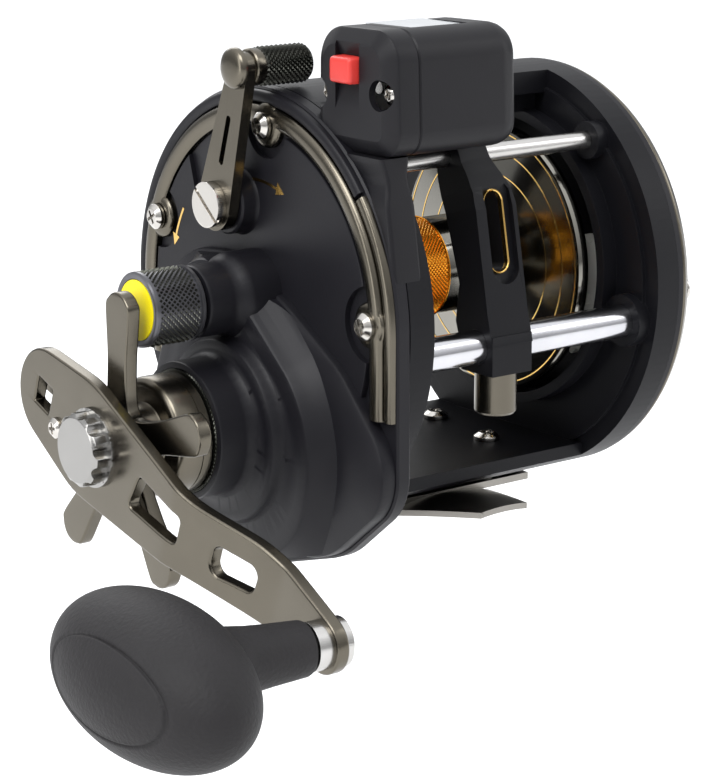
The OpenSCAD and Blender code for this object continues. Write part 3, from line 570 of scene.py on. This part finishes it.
def slanted(points, top):
    """A convex block from its bottom corners and the same corners at x = top."""
    count = len(points)
    corners = [lift(*p) for p in points] + [lift(top, p[1], p[2]) for p in points]
    faces = [tuple(range(count)), tuple(range(count, 2 * count))]
    faces += [(i, (i + 1) % count, count + (i + 1) % count, count + i) for i in range(count)]
    return mesh_from("block", corners, faces)


def make_side_plate():
    base = mound("flange", FLANGE, FLANGE_EDGE)
    middle = carve("middle", mound("middle", MIDDLE, MIDDLE_EDGE), keep=[mound("limit", LOW, LIMIT_EDGE)])
    add = [mound("face", FACE, FACE_EDGE), mound("low", LOW, LOW_EDGE), middle]
    for circles, edge in ((STEP, STEP_EDGE), (BOSS, BOSS_EDGE), (KNOB_BOSS, KNOB_BOSS_EDGE)):
        add.append(mound("boss", circles, edge))
    add.append(drum(*KNOB_THREAD))
    add.append(mound("lever_seat", LEVER_SEAT, LEVER_SEAT_EDGE))
    cut = [drum(*bore) for bore in BORES]
    cut.append(slanted(HOLLOW, HOLLOW_TOP))
    for (y, z), r in zip(TRIM_SCREWS, SCREW_HOLLOWS):
        cut.append(drum(-41.5, -38.6, y, z, r, 64))
        cut.append(drum(-42, -34, y, z, SCREW_HOLE_R, 32))
    shell = carve("side_plate_looks", base, add, cut)
    show("side_plate_looks", shell, "frame", "side_cover", ["side_plate"], weigh=True)
    ring = carve("boss_ring", knurl("ring", *RING_KNURL), cut=[drum(*RING_BORE)], angle=KNURL_ANGLE)
    show("boss_ring", ring, "frame", "knob_black")


# plain arrows on the face: radius, start, stop, head, width
MARKS = [(25.6, 88, 112, 2.6, 2.6), (30.4, 32, 15, 2.4, 2.4)]
MARK_BACK, MARK_FRONT = -39.7, -39.86


def arrow(radius, start, stop, head, width, line=0.28):
    """A plain arrow on the face, bent round the ring axis from one angle in degrees to another.
    head is the length of its point and line half the width of its shaft."""
    way = 1 if stop > start else -1
    neck = stop - math.degrees(head / radius) * way
    steps = 12
    shaft = [start + (neck - start) * k / steps for k in range(steps + 1)]
    shape = [(radius + line, a) for a in shaft]
    shape += [(radius + width / 2, neck), (radius, stop), (radius - width / 2, neck)]
    shape += [(radius - line, a) for a in reversed(shaft)]
    return loft("arrow", [[lift(x, *polar(r, a)) for r, a in shape] for x in (MARK_FRONT, MARK_BACK)])


def make_marks():
    show("face_marks", merge("face_marks", [arrow(*mark) for mark in MARKS]), "frame", "insert")


# ---- side trim -----------------------------------------------------------------------

TRIM_FOOT = 16.0
STRIP_START = 142
RIM_STOP = 140.8
TRIM_INNER = [(-38.42, 40.88), (-39.3, 40.84), (-39.8, 40.65), (-40.2, 40.3), (-40.42, 39.8),
              (-40.5, 39.1), (-40.45, 38.3), (-40.2, 37.5), (-39.7, 36.98), (-38.42, 36.9)]
TRIM_OUTER = [(-38.42, 43.45), (-39.2, 43.4), (-39.5, 43.2), (-39.72, 42.8), (-39.8, 42.2),
              (-39.72, 41.5), (-39.4, 41.12), (-38.42, 41.05)]
LOBE_R = 4.6
LOBE_EDGE = [(-38.42, 0), (-39.4, 0), (-39.9, 0.25), (-40.2, 0.75), (-40.3, 1.5)]


def sweep(profile, start, stop, front=False, steps=150, front_steps=8):
    """A band round the ring axis: profile is a list of (x, radius), start and stop are angles in
    degrees, or start is None for where the band meets its foot behind. front carries its far end
    straight down in front."""
    rings = []
    for k in range(steps + 1):
        ring = []
        for x, r in profile:
            first = -math.asin(TRIM_FOOT / r) if start is None else math.radians(start)
            a = first + (math.radians(stop) - first) * k / steps
            ring.append(lift(x, r * math.cos(a), r * math.sin(a)))
        rings.append(ring)
    if front:
        for k in range(1, front_steps + 1):
            rings.append([lift(x, -r, -TRIM_FOOT * k / front_steps) for x, r in profile])
    return loft("band", rings, 35)


def make_side_trim():
    """The bright band and, in front, a second strip outside it, which is moulded elsewhere."""
    band = sweep(TRIM_INNER, None, 180, True)
    lobes = [mound("lobe", [(y, z, LOBE_R)], LOBE_EDGE, count=64) for y, z in TRIM_SCREWS]
    band = carve("band", band, lobes, [drum(-42, -38, y, z, 1.5, 32) for y, z in TRIM_SCREWS], 35)
    both = merge("side_trim_looks", [band, sweep(TRIM_OUTER, STRIP_START, 180, True)])
    show("side_trim_looks", both, "frame", "trim", ["side_trim"], weigh=True)
    show("side_rim", sweep(TRIM_OUTER, None, RIM_STOP), "frame", "side_cover", weigh=True)


# ---- counter -----------------------------------------------------------------------

COUNTER = [(-21.5, 38.8, 4.8), (-36.6, 39, 4.9), (-34.6, 51.6, 6.4), (-24, 50.6, 7.2)]
CAP_EDGE = [(-31.02, 0.3), (-31.35, 0.02), (-35.7, 0), (-36.1, 0.1), (-36.4, 0.45), (-37.75, 2.7),
            (-38.0, 3.2)]
HOUSING_EDGE = [(-30.98, 0.3), (-30.65, 0.02), (-10.6, 0), (-9.2, 0.14), (-8.0, 0.5), (-7.1, 1.05),
                (-6.5, 1.9), (-6.22, 3.0)]
COUNTER_SCREWS = [(-37.4, 46), (-18.5, 44.8)]
SCREW_HEAD_R = 2.95
SCREW_R = 1.15
CAP_CAVITY = (-36.5, -30.9, -28.5, 46.5, 8.6)
CAP_SEAT = (-39.5, -30, 0, 0, RING_R + 0.03, 256)
HOUSING_CAVITY = (-31.5, -11, -28.5, 45.6, 9.0)
HOUSING_SEAT = (-32, -29.37, 0, 0, RING_R + 0.03, 256)
# openings and lip: x, x, y, y, z, z
BUTTON_OPENING = (-37.5, -34, -31.1, -24.2, 47.3, 52.7)
WINDOW_OPENING = (-28.6, -14.6, -35.1, -21.1, 52, 60)
BUTTON_LIP = (-36.25, -35.4, -32.1, -23.2, 46.7, 53.3)
# the hollow in the cap round the button, as (x, z)
SCOOP = [(-38.9, 58.6), (-36.9, 53.1), (-36.9, 46.9), (-38.05, 42.2), (-39.5, 42.2), (-39.5, 58.6)]
# the bracket's sections: z, x, x, y, y
BRACKET = [
    (34.06, -38.3, -31.3, -38.5, -24.0), (33.0, -38.15, -31.45, -38.7, -25.5),
    (31.8, -37.8, -31.8, -38.9, -27.0), (30.4, -37.5, -32.0, -39.2, -28.5),
    (29.0, -37.45, -31.95, -39.5, -30.0), (27.6, -37.7, -31.7, -39.8, -31.0),
    (26.2, -38.1, -31.4, -40.1, -32.0), (24.8, -38.3, -31.3, -40.4, -33.0),
    (21.5, -38.3, -31.3, -41.0, -34.0), (18.0, -38.3, -31.3, -41.6, -36.0),
    (14.0, -38.3, -31.3, -42.2, -38.0), (10.0, -38.3, -31.3, -42.8, -39.0),
]
BRACKET_CORNER = 0.9
BRACKET_BORES = [(-45, -25, 0, 0, RING_R + 0.04, 256), (-45, -25, -24.5, 30.2, 3.6)]
BUTTON_BOX = (-31, -24.3, 47.4, 52.6)
BUTTON_CORNER = 0.7
BUTTON_EDGE = [(-36.2, 0.02), (-39.2, 0.1), (-39.7, 0.25), (-39.93, 0.5), (-40.0, 0.95)]


def make_counter():
    cap = mound("cap", COUNTER, CAP_EDGE, 25)
    scoop = loft("scoop", [[lift(x, y, z) for x, z in SCOOP] for y in (-31.4, -24.0)])
    cuts = [scoop, drum(*CAP_CAVITY), block(*BUTTON_OPENING)]
    for y, z in COUNTER_SCREWS:
        cuts += [drum(-39.5, -34.65, y, z, SCREW_HEAD_R, 48), drum(-36, -30, y, z, SCREW_R, 24)]
    cuts.append(drum(*CAP_SEAT))
    cap = carve("counter_cap_looks", cap, cut=cuts, angle=22)
    show("counter_cap_looks", cap, "frame", "counter", ["counter_cap"], weigh=True)
    housing = mound("body", COUNTER, HOUSING_EDGE)
    cuts = [drum(*HOUSING_CAVITY), drum(*HOUSING_SEAT), block(*WINDOW_OPENING)]
    for y, z in COUNTER_SCREWS:
        cuts.append(drum(-32, -25, y, z, SCREW_R, 24))
    housing = carve("counter_housing_looks", housing, cut=cuts)
    show("counter_housing_looks", housing, "frame", "counter", ["counter_housing"], weigh=True)


def make_bracket():
    """The neck under the counter, which widens again and dies out on the ring."""
    rings = []
    for z, x0, x1, y0, y1 in BRACKET:
        rings.append([lift(x, y, z) for x, y in soft_box(x0, x1, y0, y1, BRACKET_CORNER)])
    neck = carve("neck", loft("neck", rings, 50), cut=[drum(*bore) for bore in BRACKET_BORES])
    show("counter_bracket_looks", neck, "frame", "counter", ["counter_bracket"], weigh=True)


def make_button():
    """The red button with soft corners, on a wider lip inside the cap."""
    y0, y1, z0, z1 = BUTTON_BOX
    rings = []
    for x, g in BUTTON_EDGE:
        outline = soft_box(y0 + g, y1 - g, z0 + g, z1 - g, BUTTON_CORNER)
        rings.append([lift(x, y, z) for y, z in outline])
    button = merge("reset_button_looks", [loft("button", rings), block(*BUTTON_LIP)])
    show("reset_button_looks", button, "reset", "button", ["reset_button"])


# ---- knobs ---------------------------------------------------------------------------

TENSION_KNURL = (-67.65, -57.95, 0, SPOOL_Z, 7.65, 40, 16, 0.75)
TENSION_BORE = (-70, -55, 0, SPOOL_Z, 6.8)
LEVER_KNURL = (-41.7, -30.5, *LEVER_KNOB, 4.0, 24, 20, 0.5)
LEVER_PIN = (-46.5, -43.8, *LEVER_KNOB, 1.6, 48)
TENSION = [(-56.92, 5.6), (-56.92, 7.3), (-57.2, 7.6), (-57.9, 7.62), (-58.0, 7.15), (-67.6, 7.15),
           (-67.7, 7.55), (-68.3, 7.5), (-68.6, 7.15), (-68.6, 6.3), (-68.5, 6.15), (-68.12, 6.1),
           (-68.12, 0.05), (-64, 0.05), (-64, 5.5), (-60, 5.5)]
LEVER_END = [(-30.55, 0.05), (-30.55, 3.5), (-30.3, 3.35), (-30.2, 2.9), (-30.2, 0.05)]
LEVER_NECK = [(-41.6, 0.05), (-41.6, 3.55), (-42.0, 3.7), (-43.6, 3.7), (-43.88, 3.5), (-43.88, 0.05)]
LEVER_DOME = [(-46.32, 0.05), (-46.32, 3.9), (-46.5, 4.1), (-47.1, 4.1), (-47.6, 3.9), (-48.0, 3.35),
              (-48.25, 2.4), (-48.38, 1.2), (-48.4, 0.05)]


def make_knobs():
    face = turned("tension_knob_looks", TENSION, 0, SPOOL_Z)
    show("tension_knob_looks", face, "tension", "knob_face", ["tension_knob"])
    skin = carve("skin", knurl("skin", *TENSION_KNURL), cut=[drum(*TENSION_BORE)], angle=KNURL_ANGLE)
    show("tension_knurl", skin, "tension", "knob_black")
    neck = turned("neck", LEVER_NECK, *LEVER_KNOB, 64)
    dome = turned("dome", LEVER_DOME, *LEVER_KNOB, 96)
    core = merge("lever_knob_looks", [neck, drum(*LEVER_PIN), dome])
    show("lever_knob_looks", core, "lever", "trim", ["lever_knob"])
    end = turned("end", LEVER_END, *LEVER_KNOB, 64)
    skin = merge("lever_knurl", [knurl("skin", *LEVER_KNURL), end])
    show("lever_knurl", skin, "lever", "knob_black")


# ---- spool and band -------------------------------------------------------------------

SPOOL_NEAR = -32.5
SPOOL_FAR = 24.5
FLANGE_THICK = 3
CORE_R = 10.3
AXLE_BORE_R = 2.52
BAND_NEAR, BAND_FAR = reach("braid_band", 0)
BAND_R = reach("braid_band", 1)[1]
BAND_BORE_R = 9.75
BAND_KNURL = (BAND_NEAR + 0.4, BAND_FAR - 0.4, 0, SPOOL_Z, BAND_R, 76, 26, 0.3)
BAND_BORE = (BAND_NEAR - 2, BAND_FAR + 2, 0, SPOOL_Z, BAND_BORE_R)
BAND_RIM = [(0, BAND_BORE_R), (0, 10.75), (0.1, 10.88), (0.35, 10.88), (0.45, 10.7), (0.45, BAND_BORE_R)]
FLANGE_LINES = (18.4, 23.4, 27.5)
CORE_LINES = (-29.1, -28.0, 20.6, 19.5, -20.5, 12.5)
LINE_HALF = 0.13


def spool_half(name, face, way, core_end, bore):
    """A flange whose outer face is at x = face, and its end of the core, going in by way."""
    rim = [(0, bore), (0, 27.9), (0.25, 28.5), (0.7, 28.7), (2.3, 28.7), (2.8, 28.45),
           (FLANGE_THICK, 27.9), (FLANGE_THICK, 11.6), (3.3, 10.75), (4, CORE_R)]
    profile = [(face + way * x, r) for x, r in rim] + [(core_end, CORE_R), (core_end, bore)]
    return turned(name, profile, 0, SPOOL_Z, 192)


def make_spool():
    a, b, bore = SPOOL_NEAR, SPOOL_FAR, AXLE_BORE_R
    parts = [spool_half("near", a, 1, BAND_NEAR - 0.02, 5.2), spool_half("far", b, -1, BAND_FAR + 0.02, 5.4)]
    for profile in (
        [(BAND_NEAR - 0.1, bore), (BAND_NEAR - 0.1, 9.7), (BAND_FAR + 0.1, 9.7), (BAND_FAR + 0.1, bore)],
        [(b - 0.1, bore), (b - 0.1, 5.6), (32.7, 5.6), (32.9, 5.4), (32.9, bore)],
        [(a - 1.2, bore), (a - 1.2, 4.8), (a - 1.0, 5.0), (a + 0.2, 5.2), (a + 1, bore)],
    ):
        parts.append(turned("hub", profile, 0, SPOOL_Z))
    show("spool_looks", merge("spool_looks", parts), "spool", "spool", ["spool"])


def make_spool_lines():
    """Thin bright rings on the flanges and round the core."""
    lines = []
    for x, out in ((SPOOL_NEAR + FLANGE_THICK, 1), (SPOOL_FAR - FLANGE_THICK, -1), (SPOOL_FAR, 1)):
        top, foot = x + 0.05 * out, x - 0.12 * out
        for r in FLANGE_LINES:
            low, high = r - LINE_HALF, r + LINE_HALF
            profile = [(top, low), (top, high), (foot, high), (foot, low)]
            lines.append(turned("line", profile, 0, SPOOL_Z, 160, 60))
    for x in CORE_LINES:
        low, high = CORE_R - 0.1, CORE_R + 0.06
        profile = [(x - 0.12, high), (x + 0.12, high), (x + 0.12, low), (x - 0.12, low)]
        lines.append(turned("line", profile, 0, SPOOL_Z, 128, 60))
    show("spool_lines", merge("spool_lines", lines), "spool", "insert")


def make_band():
    parts = [carve("band", knurl("band", *BAND_KNURL), cut=[drum(*BAND_BORE)], angle=KNURL_ANGLE)]
    for start in (BAND_NEAR, BAND_FAR - BAND_RIM[-1][0]):
        parts.append(turned("rim", [(start + x, r) for x, r in BAND_RIM], 0, SPOOL_Z))
    show("braid_band_looks", merge("braid_band_looks", parts), "spool", "band", ["braid_band"])


# ---- star drag -------------------------------------------------------------------------

STAR_OUTER, STAR_INNER = -74, -71.1
STAR_BORE_R = 3.56
STAR_ARMS = 5
STAR_START = 93
STAR_TIP = 26.1
STAR_TIP_R = 4.3
# half of the hollow between two arms, as (angle from the arm, radius)
STAR_SIDE = [(36, 8.4), (27, 8.9), (19.5, 10.6), (15.0, 13.0), (12.2, 15.8), (10.6, 18.6), (9.9, 21.4)]
STAR_HUB = [(-73.6, STAR_BORE_R), (-73.6, 6.6), (-75.2, 6.4), (-75.6, 6.0), (-75.6, STAR_BORE_R)]
COLLAR = [(-59.05, 9.1), (-59.05, 11.75), (-59.3, 12.05), (-61.15, 12.05), (-61.2, 11.9), (-61.35, 11.9),
          (-61.4, 12.05), (-65.5, 12.05), (-66.1, 11.9), (-66.6, 11.5), (-66.95, 10.8), (-67.0, 10.0),
          (-67.0, 7.2), (-67.4, 7.0), (-70.7, 7.0), (-70.9, 6.8), (-70.9, 3.54), (-60.6, 3.54), (-60.6, 9.1)]


def make_star():
    outline = []
    for i in range(STAR_ARMS):
        turn = STAR_START + 360 / STAR_ARMS * i
        outline += [polar(r, turn - a) for a, r in STAR_SIDE]
        for s in range(-75, 76, 25):
            u, v = polar(STAR_TIP_R, s)
            outline.append(rotated(STAR_TIP + u, v, turn))
        outline += [polar(r, turn + a) for a, r in reversed(STAR_SIDE[1:])]
    outline = smooth_through([(y, GEAR_Z + z) for y, z in outline])
    hole = around([(0, GEAR_Z, STAR_BORE_R)], count=48)
    star = plate([outline, hole], STAR_OUTER, STAR_INNER, 0.45, lift)
    hub = turned("hub", STAR_HUB, 0, GEAR_Z)
    show("star_drag_looks", merge("star_drag_looks", [star, hub]), "star", "trim", ["star_drag"], weigh=True)


def make_collar():
    collar = turned("drag_collar_looks", COLLAR, 0, GEAR_Z, 160)
    show("drag_collar_looks", collar, "crank", "trim", ["drag_collar"])


# ---- handle arm ------------------------------------------------------------------------
# Circles (u, v, r) in the arm's frame.

ARM_FLAT = [(-19.4, 0, 9.7), (-4, 0.5, 12.6), (32, 0.7, 7.8)]
ARM_LOW = [(30, 0.7, 7.8), (48.5, -0.9, 7.5), (58, -0.8, 6.4), (CRANK_R, 0, 5.6)]
ARM_ENDS = (-29.1, 74.95)
ARM_STATIONS = 90
END_GAP = 0.15
SLOT_1 = [(15.6, 3.2, 1.3), (28.7, 2, 1.3), (16.8, -2, 1.2), (28.8, -1.5, 1.2)]
SLOT_2 = [(41, 1.5, 2.1), (41.1, -0.5, 2.2), (47.6, 0.4, 2.1), (47.7, -1.2, 2.1)]
SQUARE = [(-19.8 + a, b, 0.4) for a in (-2.4, 2.4) for b in (-2.4, 2.4)]
# outline and number of points of each hole
ARM_HOLES = [(SLOT_1, 64), (SLOT_2, 64), (SQUARE, 32), ([(CRANK_R, 0, 2.36)], 48), ([(0, 0, 3.6)], 48),
             ([(-13.2, 3.7, 1.3)], 24)]
ARM_OUTER, ARM_INNER = -79, -76.2
# the arm comes in by JOGGLE: part of it along a soft S, the rest along a straight ramp
JOGGLE = 6
SOFT_SHARE, SOFT_START, SOFT_LENGTH = 0.45, 25.5, 32.0
RAMP_START, RAMP_LENGTH = 27.4, 28.0
BEND_CUTS = [25 + 0.9 * k for k in range(38)]


def side_at(circles, u, side):
    """How far the outline round circles reaches at u, on the side where v is positive or negative."""
    outline = around(circles, 0, 720)
    found = []
    for (u0, v0), (u1, v1) in zip(outline, outline[1:] + outline[:1]):
        if (u0 - u) * (u1 - u) <= 0 and u0 != u1:
            found.append(v0 + (v1 - v0) * (u - u0) / (u1 - u0))
    return max(found, key=lambda v: v * side, default=None)


def arm_side(stations, side):
    """The arm's edge on one side, its two stretches run softly into each other."""
    values = []
    for u in stations:
        found = [v for v in (side_at(ARM_FLAT, u, side), side_at(ARM_LOW, u, side)) if v is not None]
        values.append(max(found, key=lambda v: v * side))
    for _ in range(3):
        inner = [0.25 * a + 0.5 * b + 0.25 * c for a, b, c in zip(values, values[1:], values[2:])]
        values = [values[0]] + inner + [values[-1]]
    return list(zip(stations, values))


def arm_bend(u):
    """How far the arm has come in towards the reel at u."""
    t = min(1, max(0, (u - SOFT_START) / SOFT_LENGTH))
    soft = t * t * (3 - 2 * t)
    ramp = min(1, max(0, (u - RAMP_START) / RAMP_LENGTH))
    return JOGGLE * (SOFT_SHARE * soft + (1 - SOFT_SHARE) * ramp)


def make_arm():
    left, right = ARM_ENDS
    stations = []
    for k in range(ARM_STATIONS + 1):
        turn = math.pi * (k + END_GAP) / (ARM_STATIONS + 2 * END_GAP)
        stations.append(left + (right - left) * (1 - math.cos(turn)) / 2)
    outline = arm_side(stations, 1) + arm_side(stations, -1)[::-1]
    holes = [around(circles, count=count) for circles, count in ARM_HOLES]
    arm = plate([outline] + holes, ARM_OUTER, ARM_INNER, 0.5, arm_to_row, BEND_CUTS, arm_bend)
    show("handle_arm_looks", arm, "crank", "trim", ["handle_arm"], weigh=True)


# ---- grip ------------------------------------------------------------------------------

GRIP_X = -107
HALF_L, HALF_T = 27.0, 14.4
GRIP_TURN = 90 - 17
GRIP_TILT = 6
PAD_HALF_W, PAD_HALF_L, PAD_SHIFT = 8.3, 17.5, -3
PAD_SINK = 0.12
PAD_EDGE, GROOVE_EDGE = 0.9, 0.955
GROOVE_DEPTH, GROOVE_AT, GROOVE_WIDTH = 0.42, 0.985, 0.026
# how far out each ring of the pad's side lies, 1 being the pad's rim
PAD_LEVELS = [0.02] + [0.06 * k for k in range(1, 15)]
PAD_LEVELS += [0.87, 0.9, 0.92, 0.94, 0.955, 0.965, 0.975, 0.985, 0.995, 1.005, 1.015, 1.03, 1.05, 1.08,
               1.12, 1.16, 1.2]
STEM = [(-76.2, 2.5), (-76.2, 4.5), (-76.35, 4.95), (-76.9, 5.2), (-80, 5.4), (-84, 5.65), (-88, 6.0),
        (-90, 6.3)]
# the flare at the stem's foot: radius and height over the oval
STEM_FLARE = [(6.6, 1.9), (7.0, 1.2), (7.6, 0.62), (8.4, 0.24), (9.4, 0.02), (10.2, -0.5)]
STEM_END_X = -99
STEM_BORE_R = 2.5


def stud_to_row(x, u, v):
    """From the stud's frame, which leans about the arm's eye, to the row frame."""
    dx, du = rotated(x - STUD_X, u - CRANK_R, STUD_LEAN)
    return arm_to_row(STUD_X + dx, CRANK_R + du, v)


def grip_axes():
    """The oval's long axis and the directions across it and out of its pad, in the stud's frame."""
    c, s = polar(1, GRIP_TURN)
    along = Vector((0, -s, c))
    side = Vector((0, c, s))
    c, s = polar(1, GRIP_TILT)
    normal = -Vector((1, 0, 0)) * c - side * s
    return along, along.cross(normal), normal


def pad_groove(s):
    """How deep the oval is sunk at level s: a flat pad with a groove at its rim."""
    if s < PAD_EDGE:
        return PAD_SINK
    if s < GROOVE_EDGE:
        return PAD_SINK - PAD_SINK * (s - PAD_EDGE) / (GROOVE_EDGE - PAD_EDGE)
    d = (s - GROOVE_AT) / GROOVE_WIDTH
    return GROOVE_DEPTH * math.exp(-d * d)


def make_oval(along, cross, normal, count=160, steps=70):
    centre = Vector((GRIP_X, CRANK_R, 0))

    def on_pad(s, a):
        """A point of the unit ball, at level s and angle a round the pad."""
        p, q = s * PAD_HALF_W * math.cos(a), PAD_SHIFT + s * PAD_HALF_L * math.sin(a)
        t = math.sqrt(max(0.0, HALF_T ** 2 * (1 - (q / HALF_L) ** 2) - p * p))
        return Vector((p / HALF_T, q / HALF_L, t / HALF_T))

    def point(unit, sink):
        place = Vector((unit.x * HALF_T, unit.y * HALF_L, unit.z * HALF_T))
        out = Vector((unit.x / HALF_T, unit.y / HALF_L, unit.z / HALF_T)).normalized()
        place = place - out * sink
        return stud_to_row(*(centre + cross * place.x + along * place.y + normal * place.z))

    turns = [math.tau * i / count for i in range(count)]
    rings = [[point(on_pad(s, a), pad_groove(s)) for a in turns] for s in PAD_LEVELS]
    last = [on_pad(PAD_LEVELS[-1], a) for a in turns]
    pole = -on_pad(0, 0)
    for k in range(1, steps):
        rings.append([point(u.slerp(pole, k / steps), 0) for u in last])
    return loft("oval", rings, 60)


def make_stem(along, count=96):
    """The neck round the stud, whose foot flares on to the oval."""
    turns = circle(0, 0, 1, count)
    rings = [[stud_to_row(x, CRANK_R + r * c, r * d) for c, d in turns] for x, r in STEM]
    for r, over in STEM_FLARE:
        ring = []
        for c, d in turns:
            q = Vector((0, r * c, r * d)).dot(along)
            flat = HALF_T ** 2 * (1 - (q / HALF_L) ** 2) - (r * r - q * q)
            ring.append(stud_to_row(GRIP_X + math.sqrt(flat) + over, CRANK_R + r * c, r * d))
        rings.append(ring)
    rings.append([stud_to_row(STEM_END_X, CRANK_R + STEM_BORE_R * c, STEM_BORE_R * d) for c, d in turns])
    return hoop("stem", rings, 50)


def make_grip():
    along, cross, normal = grip_axes()
    foam = merge("grip_looks", [make_oval(along, cross, normal), make_stem(along)])
    show("grip_looks", foam, "grip", "grip", ["grip"])


# ---- line guide's insert -----------------------------------------------------------------

GUIDE_LEAN = -math.degrees(math.atan2(12, 36))
SLOT_TILT = 7.6
SLOT_Y, SLOT_Z = -7.5, 21.4
SLOT_HALF = 5.85
GUIDE_FRONT = [(0.85, 2.56), (0.7, 2.44), (0.7, 2.3), (0.85, 2.14), (1.25, 2.1), (1.9, 2.1), (1.9, 2.45),
               (1.28, 2.45), (1.26, 2.56)]
GUIDE_SLEEVE = [(1.92, 2.15), (8.3, 2.15), (8.4, 2.3), (8.4, 2.45), (1.92, 2.45)]


def slot_to_row(x, depth, up):
    """From the line slot's frame, depth running inwards from its front, to the row frame."""
    y, z = rotated(depth, up, SLOT_TILT)
    y, z = rotated(y + SLOT_Y, z + SLOT_Z, GUIDE_LEAN)
    return lift(x + GUIDE_X, y + WORM_Y, z + WORM_Z)


def slot_ring(name, profile, count=96):
    """A rounded slot's lining: profile is a list of (depth, radius), closed on itself."""
    rings = []
    for depth, r in profile:
        ring = []
        for i in range(count):
            a = math.tau * (i + 0.5) / count
            up = r * math.sin(a) + math.copysign(SLOT_HALF, math.sin(a))
            ring.append(slot_to_row(r * math.cos(a), depth, up))
        rings.append(ring)
    return hoop(name, rings, 40)


def make_insert():
    show("guide_front", slot_ring("guide_front", GUIDE_FRONT), "line_guide", "insert", ["guide_insert"])
    show("guide_sleeve", slot_ring("guide_sleeve", GUIDE_SLEEVE), "line_guide", "graphite")


# ---- click button ------------------------------------------------------------------------

CLICK = [(*CLICK_AT, 4.2)]
CLICK_EDGE = [(37.05, 2.7), (41.6, 2.7), (41.67, 0.3), (41.95, 0.12), (43.5, 0.68), (43.85, 0.9),
              (43.98, 1.3)]


def make_click():
    button = mound("button", CLICK, CLICK_EDGE)
    show("click_button_looks", button, "clicker", SLOTS["click_button"], ["click_button"])


make_side_plate()
make_marks()
make_side_trim()
make_counter()
make_bracket()
make_button()
make_knobs()
make_spool()
make_spool_lines()
make_band()
make_star()
make_collar()
make_arm()
make_grip()
make_insert()
make_click()

# bevel width in mm for the CAD nodes that show as they are
BEVELS = {
    "frame": 0.6, "side_plate_screws": 0.2, "far_plate": 0.5, "far_trim": 0.5, "far_plate_screws": 0.2,
    "reel_foot": 0.4, "foot_screws": 0.2, "line_guide": 0.6, "pawl_cap": 0.4, "counter_screws": 0.12,
    "free_spool_lever": 0.25, "lever_screw": 0.3, "handle_nut": 0.22, "nut_lock_screw": 0.15,
    "grip_stud": 0.25,
}
for node, width in BEVELS.items():
    rounded(node, width, "nut" if node == "handle_nut" else SLOTS[node])

for node, item in NODES.items():
    if node not in DONE:
        item.data.materials.clear()
        item.data.materials.append(MATERIALS[SLOTS[node]])
